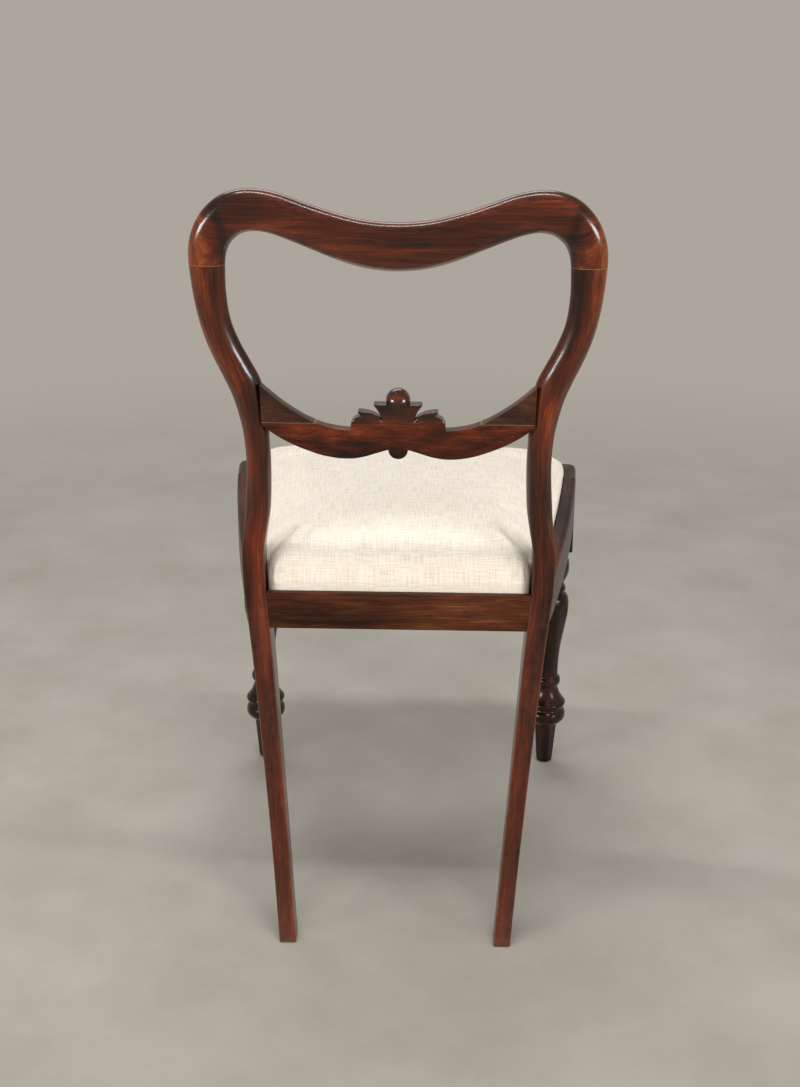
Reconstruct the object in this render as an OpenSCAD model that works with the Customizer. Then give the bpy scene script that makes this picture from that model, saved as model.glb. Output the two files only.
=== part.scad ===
// Balloon back dining chair with a drop-in seat.
// The chair faces -Y. The origin is on the floor, under the middle of the whole chair.
// Right is +X, as seen by someone who looks at the chair's front.
// "Forward" distances are measured from the back face of the rear seat rail towards -Y.

/* [Overall sizes] */
// Height to the top of the shoulders
chair_h = 880; // [850:1:910]
// Width across the front legs' blocks
seat_front_w = 466; // [450:1:480]
// Depth of the seat, from the back of the rear rail to the face of the front rail
seat_depth = 398; // [385:1:415]
// How far the rear feet stand behind the rear rail
leg_rake = 100; // [70:1:120]
// How far the top of the back leans behind the rear rail
back_rake = 84; // [60:1:100]
// Height of the rear rail's top edge
rear_rail_z = 411; // [395:1:425]
// How much higher the seat rails stand at the front than at the back
seat_rise = 42; // [30:1:50]

/* [Back posts and rear legs] */
// Distance between the middles of the rear feet
foot_spread = 255; // [225:1:300]
// Distance between the middles of the posts at the rear rail
rail_spread = 334; // [325:1:342]
// Distance between the middles of the posts at the waist
waist_spread = 315; // [305:1:322]
// Distance between the middles of the posts under the crest rail
balloon_spread = 396; // [380:1:410]
// Width of a post at the waist
post_w = 28; // [26.5:0.5:30]
// Depth of a post at the waist, front to back
post_d = 30; // [28:0.5:32]
// Height of the chair's shoulders over the joints between the posts and the crest rail
shoulder_rise = 80; // [70:1:90]
// Rounding of the moulded posts and the crest rail
moulding_r = 10.5; // [6:0.5:11]
// Rounding of the square rear legs
leg_edge_r = 1.6; // [1:0.1:4]

/* [Crest rail] */
// Width of the crest rail at its middle, top edge to lower edge
crest_mid_w = 52; // [46:1:58]
// Thickness of the crest rail at its middle
crest_t = 28; // [26:0.5:32]

/* [Cross rail] */
// Heights between the rear rail's top edge (0) and the crest rail's joints (1), as shares:
// the cross rail's top edge at the posts
cross_end_share = 0.648; // [0.63:0.002:0.66]
// The cross rail's lower edge at the posts
cross_end_low_share = 0.519; // [0.505:0.002:0.53]
// The cross rail's top edge beside the carving
cross_top_share = 0.519; // [0.51:0.002:0.527]
// The cross rail's lowest edge
cross_low_share = 0.429; // [0.42:0.002:0.44]
// The glue line under the ears and the carved crest
glue_line_share = 0.54; // [0.536:0.002:0.546]
// Thickness of the cross rail
cross_t = 18; // [16:0.5:19]
// How far the cross rail lies in front of the back of the posts
cross_recess = 2; // [1:0.5:4]
// Half width of the carving
carving_half_w = 53; // [46:0.5:58]
// Height of the carving's leaf above the cross rail's top edge
carving_h = 30; // [26:0.5:34]
// Radius of the ball on the carving
ball_r = 12.7; // [10:0.1:14]
// Radius of the round drop under the carving
drop_r = 10.8; // [8:0.1:12]

/* [Seat rails] */
// Height of the rear rail
rear_rail_h = 45; // [40:1:50]
// Thickness of the rear rail
rear_rail_t = 24; // [22:0.5:26]
// How far the rear rail lies in front of the back of the posts
rear_rail_recess = 1; // [0.5:0.5:3]
// Width of the rear rail's lip behind the seat
rear_lip = 7; // [5:0.5:9]
// Thickness of a side rail
side_rail_t = 30; // [28:0.5:33]
// Height of a side rail at the post
side_rail_rear_h = 50; // [44:1:54]
// Height of a side rail and the front rail at the front leg
side_rail_front_h = 60; // [52:1:66]
// Width of the side rails' and leg blocks' lip beside the seat
side_lip = 18; // [16:0.5:19]
// How far a side rail bows outwards
side_bow = 4; // [0:0.5:8]
// Thickness of the front rail at the leg blocks
front_rail_t = 28; // [26:0.5:32]
// How far the front rail bows forwards
front_bow = 6; // [3:0.5:10]
// Depth of the rebate that the drop-in seat lies in
rebate_h = 10; // [8:0.5:11]

/* [Front legs] */
// Width of a front leg's square block
block_w = 54; // [52:1:56]
// Height of the turned part, from the floor to the block
turned_h = 338; // [320:1:355]
// Radius of the largest turned ring
ring_r = 28; // [25:0.5:30]
// Rounding of the block's outer corner
block_corner_r = 14; // [8:1:18]

/* [Drop-in seat] */
// Height of the pad's edge above the rails, at the rear
pad_rear_h = 54; // [44:1:60]
// Height of the pad's edge above the rails, at the front
pad_front_h = 40; // [34:1:50]
// Gap between the drop-in seat and the rebate
seat_gap = 2; // [1.5:0.1:3]
// Gap between the drop-in seat and the front lip
front_gap = 3.6; // [3.2:0.1:5]
// Thickness of the linen cover
cover_t = 1.2; // [0.8:0.1:1.6]
// Thickness of the seat frame
frame_t = 20; // [16:1:22]
// Width of the seat frame's rails
frame_rail_w = 45; // [40:1:52]
// Width of a webbing strap
web_w = 50; // [40:1:55]
// Thickness of a webbing strap
web_t = 1.5; // [1:0.1:2]
// Thickness of the hessian
hessian_t = 1; // [0.6:0.1:1.4]
// Thickness of the bottom cloth
bottom_cloth_t = 0.8; // [0.4:0.1:1]

/* [Hidden] */
// Radius and half length of the dowels in the seat rails, the crest rail and the cross rail
dowel_r = 4.5;
dowel_half = 17;
crest_dowel_r = 4;
crest_dowel_half = 19;
crest_dowel_spacing = 17;
cross_dowel_r = 3.5;
cross_dowel_half = 13;
frame_dowel_r = 4;
frame_dowel_half = 16;
// Radial clearance of dowels and screws in their bores
bore_clearance = 0.05;
// Clearance round a rail's end in its housing
housing_clearance = 0.15;
// How deep the rails' ends are housed in the posts
housing_depth = 1.5;
// Least gap between the seat and what it rests on
rest_gap = 0.3;
// Length by which a cutting shape runs past the piece it cuts
overrun = 20;
// Corner radii of the rebate: at the rear, round the post, past the post and at the front
rear_corner_r = 12;
notch_r = 3;
least_r = 0.4;
shoulder_r = 5;
front_corner_r = 24;
// Corner blocks and their screws
corner_block_h = 32;
corner_block_run = 48;
corner_block_drop = 3;
screw_r = 2;
screw_head_r = 4;
screw_head_h = 3;
screw_in_rail = 13;
screw_in_block = 12;
screw_share = 0.5;
// Width of the cover's hem under the seat frame
hem_w = 24;
// How far the bottom cloth's edge lies inside the seat's
bottom_cloth_edge = 7;
// Tacks: shaft, head, how far they go into the wood, and how far they lie from an edge
tack_r = 0.7;
tack_head_r = 2.2;
tack_head_h = 1;
tack_in_wood = 5.5;
tack_clearance = 0.05;
tack_edge = 9;
// Clearance between the hessian and the stuffing
layer_clearance = 0.05;
// Places of the bottom tacks, as shares of the rails' length
tack_shares = [0.2, 0.4, 0.6, 0.8];
// Places of the webbing straps, as shares of the seat's half width and of its depth
web_across_shares = [-0.6, 0, 0.6];
web_along_shares = [0.3, 0.52, 0.74];

corner_steps = 3;
outline_steps = 4;
joint_z = chair_h - shoulder_rise;
cross_end_z = mix(rear_rail_z, joint_z, cross_end_share);
cross_end_low_z = mix(rear_rail_z, joint_z, cross_end_low_share);
cross_top_z = mix(rear_rail_z, joint_z, cross_top_share);
cross_low_z = mix(rear_rail_z, joint_z, cross_low_share);
glue_line_z = mix(rear_rail_z, joint_z, glue_line_share);
slope = seat_rise / seat_depth;
rear_y = (seat_depth - leg_rake) / 2;
leg_f = seat_depth - front_bow - block_w / 2;
block_rear_f = leg_f - block_w / 2;
block_front_f = leg_f + block_w / 2;
leg_x = (seat_front_w - block_w) / 2;
block_outer_x = seat_front_w / 2;
block_inner_x = leg_x - block_w / 2;
front_rail_rear_f = block_front_f - front_rail_t;
front_lip_w = side_lip;

// The posts: level, share of the way in to the waist, share of the way out to the balloon,
// then width and depth as shares of post_w and post_d, and rounding between leg and moulding.
// Level 0 is the floor, 1 the rear rail's top edge and 2 the joint with the crest rail.
post_shares = [
    [0, 0, 0, 0.71, 0.77, 0],
    [0.27, 0, 0, 0.72, 0.83, 0],
    [0.55, 0, 0, 0.78, 0.93, 0],
    [0.83, 0, 0, 0.86, 1.2, 0],
    [1, 0, 0, 0.9, 1.18, 0],
    [1.13, -0.02, 0, 0.9, 1.12, 0],
    [1.2, 0.35, 0, 0.96, 1.04, 0.35],
    [1.27, 0.7, 0, 1.03, 1, 0.85],
    [1.4, 1, 0, 1, 0.98, 1],
    [1.49, 1, 0.02, 1.03, 0.97, 1],
    [1.55, 1, 0.076, 1.13, 0.96, 1],
    [1.61, 1, 0.167, 1.26, 0.95, 1],
    [1.665, 1, 0.313, 1.4, 0.95, 1],
    [1.72, 1, 0.537, 1.37, 0.94, 1],
    [1.775, 1, 0.749, 1.29, 0.93, 1],
    [1.84, 1, 0.921, 1.22, 0.92, 1],
    [1.92, 1, 1, 1.26, 0.91, 1],
    [2, 1, 1, 1.36, 0.9, 1]
];

// How far the back of the chair lies behind the rear rail: level, share of leg_rake, share of back_rake
rake_shares = [
    [0, 1, 0],
    [0.24, 0.66, 0],
    [0.49, 0.36, 0],
    [0.73, 0.12, 0],
    [0.88, 0.02, 0],
    [1, 0, 0],
    [1.15, 0, 0.024],
    [1.31, 0, 0.072],
    [1.49, 0, 0.182],
    [1.64, 0, 0.31],
    [1.85, 0, 0.552],
    [2, 0, 0.75],
    [2.1, 0, 0.89],
    [2.21, 0, 1],
    [2.3, 0, 1.06]
];

// The crest rail's middle line from a joint to the chair's middle: place along it, share of
// the joint's distance from the middle, share of the shoulder's rise, share of the middle's width
crest_shares = [
    [0, 1, 0, 0],
    [1, 0.991, 0.27, 0.09],
    [2, 0.964, 0.53, 0.2],
    [3, 0.92, 0.745, 0.34],
    [4, 0.859, 0.91, 0.44],
    [5, 0.788, 0.988, 0.45],
    [6, 0.712, 0.995, 0.38],
    [7, 0.626, 0.935, 0.34],
    [8, 0.523, 0.805, 0.33],
    [9, 0.404, 0.65, 0.46],
    [10, 0.253, 0.47, 0.74],
    [11, 0.126, 0.375, 0.93],
    [12, 0, 0.345, 1],
    [13, -0.126, 0.375, 0.93]
];

// The cross rail's edges: share of the way to the post, share of the edge's rise
cross_top_shares = [
    [0, 0], [0.36, 0], [0.49, 0.05], [0.57, 0.12], [0.64, 0.21], [0.71, 0.33], [0.78, 0.47],
    [0.855, 0.64], [0.92, 0.81], [0.97, 0.95], [1.02, 1.09], [1.08, 1.26]
];
cross_low_shares = [
    [0.083, 0.31], [0.167, 0.19], [0.24, 0.086], [0.31, 0.02], [0.375, 0], [0.45, 0.017],
    [0.54, 0.086], [0.61, 0.175], [0.685, 0.3], [0.755, 0.43], [0.83, 0.6], [0.9, 0.79],
    [0.965, 1], [1.08, 1.36]
];

// The carving's outline over the rail: share of its half width, share of its height
carving_shares = [
    [1, -0.1], [1, 0.12], [0.97, 0.3], [0.9, 0.46], [0.79, 0.59], [0.82, 0.78], [0.72, 0.78],
    [0.62, 0.75], [0.49, 0.65], [0.4, 0.55], [0.35, 0.48], [0.5, 1.02], [0, 1.02]
];

// The pad's section: share of the way out from its middle, share of its edge's height
pad_shares = [
    [1, 0], [1, 0.3], [1, 0.55], [0.985, 0.74], [0.955, 0.87], [0.9, 0.96], [0.8, 1.02],
    [0.64, 1.07], [0.45, 1.105], [0.24, 1.125], [0, 1.13]
];

// The turned leg under the block: share of ring_r, share of turned_h
turning_top_shares = [
    [0.58, 1.02], [0.58, 0.985], [0.62, 0.966], [0.76, 0.955], [0.85, 0.94], [0.885, 0.913],
    [0.85, 0.885], [0.74, 0.86], [0.66, 0.848], [0.65, 0.834], [0.7, 0.826], [0.75, 0.815],
    [0.7, 0.803], [0.63, 0.798], [0.4, 0.796]
];
baluster_shares = [
    [0.63, 0.799], [0.75, 0.793], [0.86, 0.78], [0.93, 0.757], [0.95, 0.737], [0.93, 0.705],
    [0.87, 0.675], [0.79, 0.637], [0.69, 0.59], [0.6, 0.54], [0.555, 0.49], [0.54, 0.44],
    [0.55, 0.4]
];
turning_low_shares = [
    [0.4, 0.405], [0.62, 0.404], [0.67, 0.393], [0.67, 0.38], [0.6, 0.372], [0.55, 0.366],
    [0.59, 0.347], [0.71, 0.322], [0.89, 0.299], [0.98, 0.29], [0.98, 0.28], [0.83, 0.27],
    [0.81, 0.26], [0.94, 0.248], [1, 0.233], [1, 0.222], [0.93, 0.208], [0.8, 0.195],
    [0.63, 0.19], [0.4, 0.188]
];
// The faceted foot's radius at its top and at the floor, as shares of ring_r, and its top as a share of turned_h
foot_top_share = 0.59;
foot_low_share = 0.4;
foot_h_share = 0.191;
core_share = 0.35;

rosewood = "#5b2a1a";
dark_rosewood = "#3a1a12";
beech = "#c9a06c";
linen = "#e6dfd0";
steel = "#77787a";

$fn = 48;

// A smooth curve through a table's rows: column c at place t
function row_before(table, t) = max([0, for (i = [0:len(table) - 2]) if (table[i][0] <= t) i]);
function row_slope(table, i, c) =
    let (a = max(i - 1, 0), b = min(i + 1, len(table) - 1))
    (table[b][c] - table[a][c]) / (table[b][0] - table[a][0]);
function smooth(table, t, c) =
    let (i = row_before(table, t), w = table[i + 1][0] - table[i][0], s = (t - table[i][0]) / w)
    (1 + 2 * s) * (1 - s) * (1 - s) * table[i][c] + s * (1 - s) * (1 - s) * w * row_slope(table, i, c)
    + s * s * (3 - 2 * s) * table[i + 1][c] + s * s * (s - 1) * w * row_slope(table, i + 1, c);

function mix(a, b, s) = a + (b - a) * s;
function place(x, f) = [x, rear_y - f];

// Levels and heights
function level_z(level) =
    level <= 1 ? level * rear_rail_z : rear_rail_z + (level - 1) * (joint_z - rear_rail_z);
function z_level(z) =
    z <= rear_rail_z ? z / rear_rail_z : 1 + (z - rear_rail_z) / (joint_z - rear_rail_z);
function rake(z) =
    leg_rake * smooth(rake_shares, z_level(z), 1) + back_rake * smooth(rake_shares, z_level(z), 2);
function rake_angle(z) = atan((rake(z + overrun) - rake(z - overrun)) / (2 * overrun));

// A post's middle, width, depth and rounding at a level
function post_mid(level) =
    mix(foot_spread, rail_spread, min(level, 1)) / 2
    + (waist_spread - rail_spread) / 2 * smooth(post_shares, level, 1)
    + (balloon_spread - waist_spread) / 2 * smooth(post_shares, level, 2);
function post_width(level) = post_w * smooth(post_shares, level, 3);
function post_depth(level) = post_d * smooth(post_shares, level, 4);
function post_round(level) = mix(leg_edge_r, moulding_r, smooth(post_shares, level, 5));
function post_inner(level) = post_mid(level) - post_width(level) / 2;
function post_outer(level) = post_mid(level) + post_width(level) / 2;

// A ring of points round a rectangle w by d with corners of radius r
function rounded_ring(w, d, r) = [
    for (q = [0:3], k = [0:corner_steps])
    let (a = 90 * (q + k / corner_steps), sx = q == 0 || q == 3 ? 1 : -1, sy = q < 2 ? 1 : -1)
    [sx * (w / 2 - r) + r * cos(a), sy * (d / 2 - r) + r * sin(a)]
];

// A closed solid through rings of n points each, with flat ends
module skin(rings) {
    n = len(rings[0]);
    last = len(rings) - 1;
    points = [for (ring = rings, p = ring) p];
    sides = [
        for (i = [0:last - 1], k = [0:n - 1])
        let (a = i * n + k, b = i * n + (k + 1) % n)
        each [[a, a + n, b + n], [a, b + n, b]]
    ];
    ends = [[for (k = [0:n - 1]) k], [for (k = [n - 1:-1:0]) last * n + k]];
    polyhedron(points, concat(sides, ends));
}

// The same, but each end closes to a point
module skin_to_points(rings, first, final) {
    n = len(rings[0]);
    last = len(rings) - 1;
    points = concat([for (ring = rings, p = ring) p], [first, final]);
    sides = [
        for (i = [0:last - 1], k = [0:n - 1])
        let (a = i * n + k, b = i * n + (k + 1) % n)
        each [[a, a + n, b + n], [a, b + n, b]]
    ];
    caps = [
        for (k = [0:n - 1])
        each [
            [(last + 1) * n, k, (k + 1) % n],
            [(last + 1) * n + 1, last * n + (k + 1) % n, last * n + k]
        ]
    ];
    polyhedron(points, concat(sides, caps));
}

module both_sides() {
    children();
    mirror([1, 0, 0]) children();
}

// A front-view outline of [x, z] points, cut right through from front to back
module through_back(points) {
    reach = leg_rake + seat_depth;
    translate([0, reach / 2, 0]) rotate([90, 0, 0]) linear_extrude(reach) polygon(points);
}

// A side-view outline of [forward, z] points, cut right across the chair
module across(points) {
    half = block_outer_x + overrun;
    translate([-half, 0, 0])
        rotate([90, 0, 90])
        linear_extrude(2 * half)
        polygon([for (p = points) [rear_y - p[0], p[1]]]);
}

// Everything between two heights over the plane of the rails' top edges
function rail_top(f) = rear_rail_z + f * slope;
module seat_slab(low, high) {
    a = -overrun;
    b = seat_depth + overrun;
    across([
        [a, rail_top(a) + low], [b, rail_top(b) + low],
        [b, rail_top(b) + high], [a, rail_top(a) + high]
    ]);
}

// A plan outline of [x, forward] points, cut from floor to shoulders
module from_plan(points) {
    linear_extrude(chair_h) polygon([for (p = points) place(p[0], p[1])]);
}

// The side rails in plan
post_front_f = post_depth(1);
side_end_f = post_front_f - housing_depth;
function side_share(f) = (f - side_end_f) / (block_rear_f - side_end_f);
function side_line(f) = mix(post_outer(1), block_outer_x, side_share(f));
function side_out(f) =
    f >= block_rear_f ? block_outer_x : side_line(f) + 4 * side_bow * side_share(f) * (1 - side_share(f));
function side_in(f) = side_line(f) - side_rail_t;

// The front rail's face in plan
function front_face(x) = block_front_f + front_bow * (1 - (x / block_inner_x) * (x / block_inner_x));

// The rebate's outline, drawn in by a gap: one half, from the middle of the rear to the middle of the front
well_rear_f = rear_rail_recess + rear_lip;
well_rear_x = post_inner(1);
notch_f = post_front_f;
function arc_points(x, f, r, start, end, steps) = [
    for (k = [0:steps])
    let (a = mix(start, end, k / steps))
    [x + r * cos(a), f + r * sin(a)]
];
function corner_points(x, f, out, r, gap, end, steps) =
    let (left = max(r - gap, least_r))
    arc_points(x - gap - left, f - out * (gap + left), left, min(out * 90, 0), end, steps);
function seat_half(gap, gap_front) =
    let (
        front_x = block_outer_x - side_lip,
        front_f = block_front_f - front_lip_w,
        first_f = notch_f + shoulder_r,
        last_f = front_f - front_corner_r,
        side = [
            for (k = [1:outline_steps])
            let (f = mix(first_f, last_f, k / (outline_steps + 1)))
            [side_out(f) - side_lip - gap, f]
        ],
        front = [
            for (k = [outline_steps - 1:-1:0])
            let (x = (front_x - front_corner_r) * k / outline_steps)
            [x, front_face(x) - front_lip_w - gap_front]
        ]
    )
    concat(
        [for (k = [0:2]) [(well_rear_x - rear_corner_r) * k / 3, well_rear_f + gap]],
        corner_points(well_rear_x, well_rear_f, -1, rear_corner_r, gap, 0, 3),
        arc_points(well_rear_x + notch_r, notch_f - notch_r, notch_r + gap, 180, 90, 2),
        corner_points(side_out(first_f) - side_lip, notch_f, -1, shoulder_r, gap, 0, 2),
        side,
        arc_points(front_x - front_corner_r, last_f, front_corner_r - gap, 0, 60, 3),
        [[front_x - front_corner_r, front_face(front_x - front_corner_r) - front_lip_w - gap_front]],
        front
    );
function whole(half) = concat(
    half,
    [for (k = [len(half) - 2:-1:1]) [-half[k][0], half[k][1]]]
);
function seat_outline(gap) = whole(seat_half(gap, gap + front_gap - seat_gap));

module rebate() {
    intersection() {
        from_plan(whole(seat_half(0, 0)));
        seat_slab(-rebate_h, chair_h / 2);
    }
}

// Dowels: along X, along Y or leaning with the back, with a named centre, radius and half length
module dowel_x(p, r, half) {
    translate(p) rotate([0, 90, 0]) cylinder(r = r, h = 2 * half, center = true);
}
module dowel_y(p, r, half) {
    translate(p) rotate([90, 0, 0]) cylinder(r = r, h = 2 * half, center = true);
}

module crest_dowels(extra) {
    joint_y = rear_y + rake(joint_z) - post_depth(2) / 2;
    for (s = [-1, 1])
        translate([post_mid(2) + s * crest_dowel_spacing / 2, joint_y, joint_z])
            rotate([-rake_angle(joint_z), 0, 0])
            cylinder(r = crest_dowel_r + extra, h = 2 * (crest_dowel_half + extra), center = true);
}

// The cross rail's place: its back and front faces are flat and lean with the posts
cross_low_f = cross_recess - rake(cross_low_z);
cross_high_f = cross_recess - rake(cross_end_z);
function cross_f(z) = mix(cross_low_f, cross_high_f, (z - cross_low_z) / (cross_end_z - cross_low_z));
cross_end_x = post_inner(z_level(cross_end_z)) + housing_depth;
cross_dowel_zs = [
    mix(glue_line_z, cross_end_z, 0.2),
    mix(glue_line_z, cross_end_z, 0.52)
];
module cross_slab(extra) {
    low = cross_low_z - 2 * drop_r;
    high = cross_end_z + 2 * ball_r;
    across([
        [cross_f(low) - extra, low], [cross_f(high) - extra, high],
        [cross_f(high) + cross_t + extra, high], [cross_f(low) + cross_t + extra, low]
    ]);
}
function cross_edges(extra) =
    let (
        top = [
            for (row = cross_top_shares)
            [row[0] * cross_end_x, mix(cross_top_z, cross_end_z, row[1]) + extra]
        ],
        low = [
            for (row = cross_low_shares)
            [row[0] * cross_end_x, mix(cross_low_z, cross_end_low_z, row[1]) - extra]
        ],
        drop_z = low[0][1],
        drop = [for (k = [0:4]) [drop_r * sin(90 * k / 4), drop_z - drop_r * cos(90 * k / 4)]],
        right = concat(drop, low, [for (k = [len(top) - 1:-1:0]) top[k]])
    )
    concat(right, [for (k = [len(right) - 1:-1:0]) if (right[k][0] > 0) [-right[k][0], right[k][1]]]);
module cross_dowels(extra) {
    for (z = cross_dowel_zs)
        dowel_x([cross_end_x, rear_y - cross_f(z) - cross_t / 2, z],
            cross_dowel_r + extra, cross_dowel_half + extra);
}
module carving_outline() {
    right = [for (row = carving_shares) [row[0] * carving_half_w, cross_top_z + row[1] * carving_h]];
    through_back(concat(right, [for (k = [len(right) - 2:-1:0]) [-right[k][0], right[k][1]]]));
}
module cross_shape() {
    intersection() {
        union() {
            through_back(cross_edges(0));
            carving_outline();
        }
        cross_slab(0);
        cube([2 * cross_end_x, 2 * chair_h, 2 * chair_h], center = true);
    }
}
module below_glue_line() {
    translate([-chair_h, -chair_h, 0]) cube([2 * chair_h, 2 * chair_h, glue_line_z]);
}

// Dowels of the seat rails, for the right-hand side
rear_rail_end_x = post_inner(1) + housing_depth;
rear_rail_mid_f = rear_rail_recess + rear_rail_t / 2;
side_dowel_x = post_mid(1) + dowel_r / 2;
side_dowel_depth = 12;
front_dowel_f = block_front_f - front_rail_t / 2;
module rail_dowels(extra) {
    r = dowel_r + extra;
    for (s = [0.28, 0.6]) {
        rear_z = rail_top(rear_rail_mid_f) - rebate_h - s * (rear_rail_h - rebate_h) - dowel_r / 2;
        dowel_x([rear_rail_end_x, rear_y - rear_rail_mid_f, rear_z], r, dowel_half + extra);
        side_z = rail_top(side_end_f) - rebate_h - s * (side_rail_rear_h - rebate_h) - dowel_r / 2;
        dowel_y([side_dowel_x, rear_y - side_end_f, side_z], r, side_dowel_depth + extra);
        front_z = rail_top(block_rear_f) - rebate_h - s * (side_rail_front_h - rebate_h) - dowel_r / 2;
        dowel_y([side_line(block_rear_f) - side_rail_t / 2, rear_y - block_rear_f, front_z],
            r, dowel_half + extra);
        dowel_x([block_inner_x, rear_y - front_dowel_f, front_z], r, dowel_half + extra);
    }
}

// A side rail's end at the post, and the rear rail's, as the posts are cut for them
module side_rail_block(extra) {
    intersection() {
        from_plan([
            [side_in(side_end_f) - extra, side_end_f], [block_outer_x + overrun, side_end_f],
            [block_outer_x + overrun, seat_depth], [side_in(side_end_f) - extra, seat_depth]
        ]);
        side_rail_slab(extra);
    }
}
function side_bottom(f) =
    mix(rail_top(side_end_f) - side_rail_rear_h, rail_top(block_rear_f) - side_rail_front_h, side_share(f));
module side_rail_slab(extra) {
    a = side_end_f - overrun;
    b = block_rear_f + overrun;
    across([
        [a, side_bottom(a) - extra], [b, side_bottom(b) - extra],
        [b, rail_top(b) + extra], [a, rail_top(a) + extra]
    ]);
}
module rear_rail_bar(extra) {
    intersection() {
        from_plan([
            [-rear_rail_end_x, rear_rail_recess - extra], [rear_rail_end_x, rear_rail_recess - extra],
            [rear_rail_end_x, rear_rail_recess + rear_rail_t + extra],
            [-rear_rail_end_x, rear_rail_recess + rear_rail_t + extra]
        ]);
        seat_slab(-rear_rail_h - extra, extra);
    }
}

module back_post() {
    levels = concat([for (k = [0:6]) k / 7], [for (k = [0:24]) 1 + k / 24]);
    difference() {
        skin([
            for (level = levels)
            let (z = level_z(level), d = post_depth(level))
            [
                for (p = rounded_ring(post_width(level), d, post_round(level)))
                [post_mid(level) + p[0], rear_y + rake(z) - d / 2 + p[1], z]
            ]
        ]);
        rear_rail_bar(housing_clearance);
        side_rail_block(housing_clearance);
        intersection() {
            through_back(cross_edges(housing_clearance));
            cross_slab(housing_clearance);
            cube([2 * cross_end_x, 2 * chair_h, 2 * chair_h], center = true);
        }
        crest_dowels(bore_clearance);
        cross_dowels(bore_clearance);
        rail_dowels(bore_clearance);
    }
}
module left_back_post() {
    color(rosewood) mirror([1, 0, 0]) back_post();
}
module right_back_post() {
    color(rosewood) back_post();
}

// The crest rail's middle line, direction and width at a place along it
crest_joint_w = post_width(2);
crest_rise = chair_h - joint_z - mix(crest_joint_w, crest_mid_w, 0.42) / 2;
function crest_mid(t) =
    t < 0 ? [crest_mid(-t)[0], -crest_mid(-t)[1]] :
    [smooth(crest_shares, t, 1) * post_mid(2), joint_z + smooth(crest_shares, t, 2) * crest_rise];
function crest_ring(t, side) =
    let (
        step = 0.05,
        m = crest_mid(t),
        ahead = crest_mid(t + step),
        behind = crest_mid(t - step),
        along = t == 0 ? [0, 1] : (ahead - behind) / norm(ahead - behind),
        out = [along[1], -along[0]],
        width = mix(crest_joint_w, crest_mid_w, smooth(crest_shares, t, 3)),
        d = mix(post_depth(2), crest_t, smooth(crest_shares, t, 3)),
        ring = rounded_ring(width, d, moulding_r)
    )
    [
        for (p = ring)
        let (z = m[1] + p[0] * out[1])
        [side * (m[0] + p[0] * out[0]), rear_y + rake(z) - d / 2 + p[1], z]
    ];
module crest_rail() {
    half = [for (t = [0:0.5:11.5]) t];
    color(rosewood)
    difference() {
        skin(concat(
            [for (t = half) crest_ring(t, 1)],
            [crest_ring(12, 1)],
            [for (k = [len(half) - 1:-1:0]) crest_ring(half[k], -1)]
        ));
        both_sides() crest_dowels(bore_clearance);
    }
}
module crest_rail_dowels() {
    color(beech) both_sides() crest_dowels(0);
}

module cross_rail_board() {
    color(rosewood)
    intersection() {
        cross_shape();
        below_glue_line();
    }
}
module cross_rail_ear() {
    difference() {
        cross_shape();
        below_glue_line();
        translate([-2 * chair_h, -chair_h, 0]) cube([2 * chair_h, 2 * chair_h, chair_h]);
        translate([-carving_half_w - overrun, -chair_h, 0])
            cube([2 * (carving_half_w + overrun), 2 * chair_h, chair_h]);
        cross_dowels(bore_clearance);
    }
}
module cross_rail_left_ear() {
    color(rosewood) mirror([1, 0, 0]) cross_rail_ear();
}
module cross_rail_right_ear() {
    color(rosewood) cross_rail_ear();
}
module cross_rail_carved_crest() {
    ball_z = cross_top_z + carving_h + ball_r / 3;
    color(rosewood)
    difference() {
        union() {
            intersection() {
                carving_outline();
                cross_slab(0);
            }
            translate([0, rear_y - cross_f(ball_z) - cross_t / 2, ball_z]) sphere(r = ball_r);
        }
        below_glue_line();
    }
}
module cross_rail_dowels() {
    color(beech) both_sides() cross_dowels(0);
}

module rear_seat_rail() {
    color(rosewood)
    difference() {
        rear_rail_bar(0);
        rebate();
        both_sides() {
            rail_dowels(bore_clearance);
            rear_screws(bore_clearance);
        }
    }
}
module side_rail() {
    outer = [for (k = [0:12]) let (f = mix(side_end_f, block_rear_f, k / 12)) [side_out(f), f]];
    difference() {
        intersection() {
            from_plan(concat([[side_in(side_end_f), side_end_f]], outer, [[side_in(block_rear_f), block_rear_f]]));
            side_rail_slab(0);
        }
        rebate();
        rail_dowels(bore_clearance);
        rear_screws(bore_clearance);
        front_screws(bore_clearance);
    }
}
module left_side_rail() {
    color(dark_rosewood) mirror([1, 0, 0]) side_rail();
}
module right_side_rail() {
    color(dark_rosewood) side_rail();
}
module front_seat_rail() {
    face = [for (k = [-8:8]) let (x = block_inner_x * k / 8) [x, front_face(x)]];
    color(dark_rosewood)
    difference() {
        intersection() {
            from_plan(concat(face, [[block_inner_x, front_rail_rear_f], [-block_inner_x, front_rail_rear_f]]));
            seat_slab(-side_rail_front_h, 0);
        }
        rebate();
        both_sides() {
            rail_dowels(bore_clearance);
            front_screws(bore_clearance);
        }
    }
}
module seat_rail_dowels() {
    color(beech) both_sides() rail_dowels(0);
}

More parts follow.
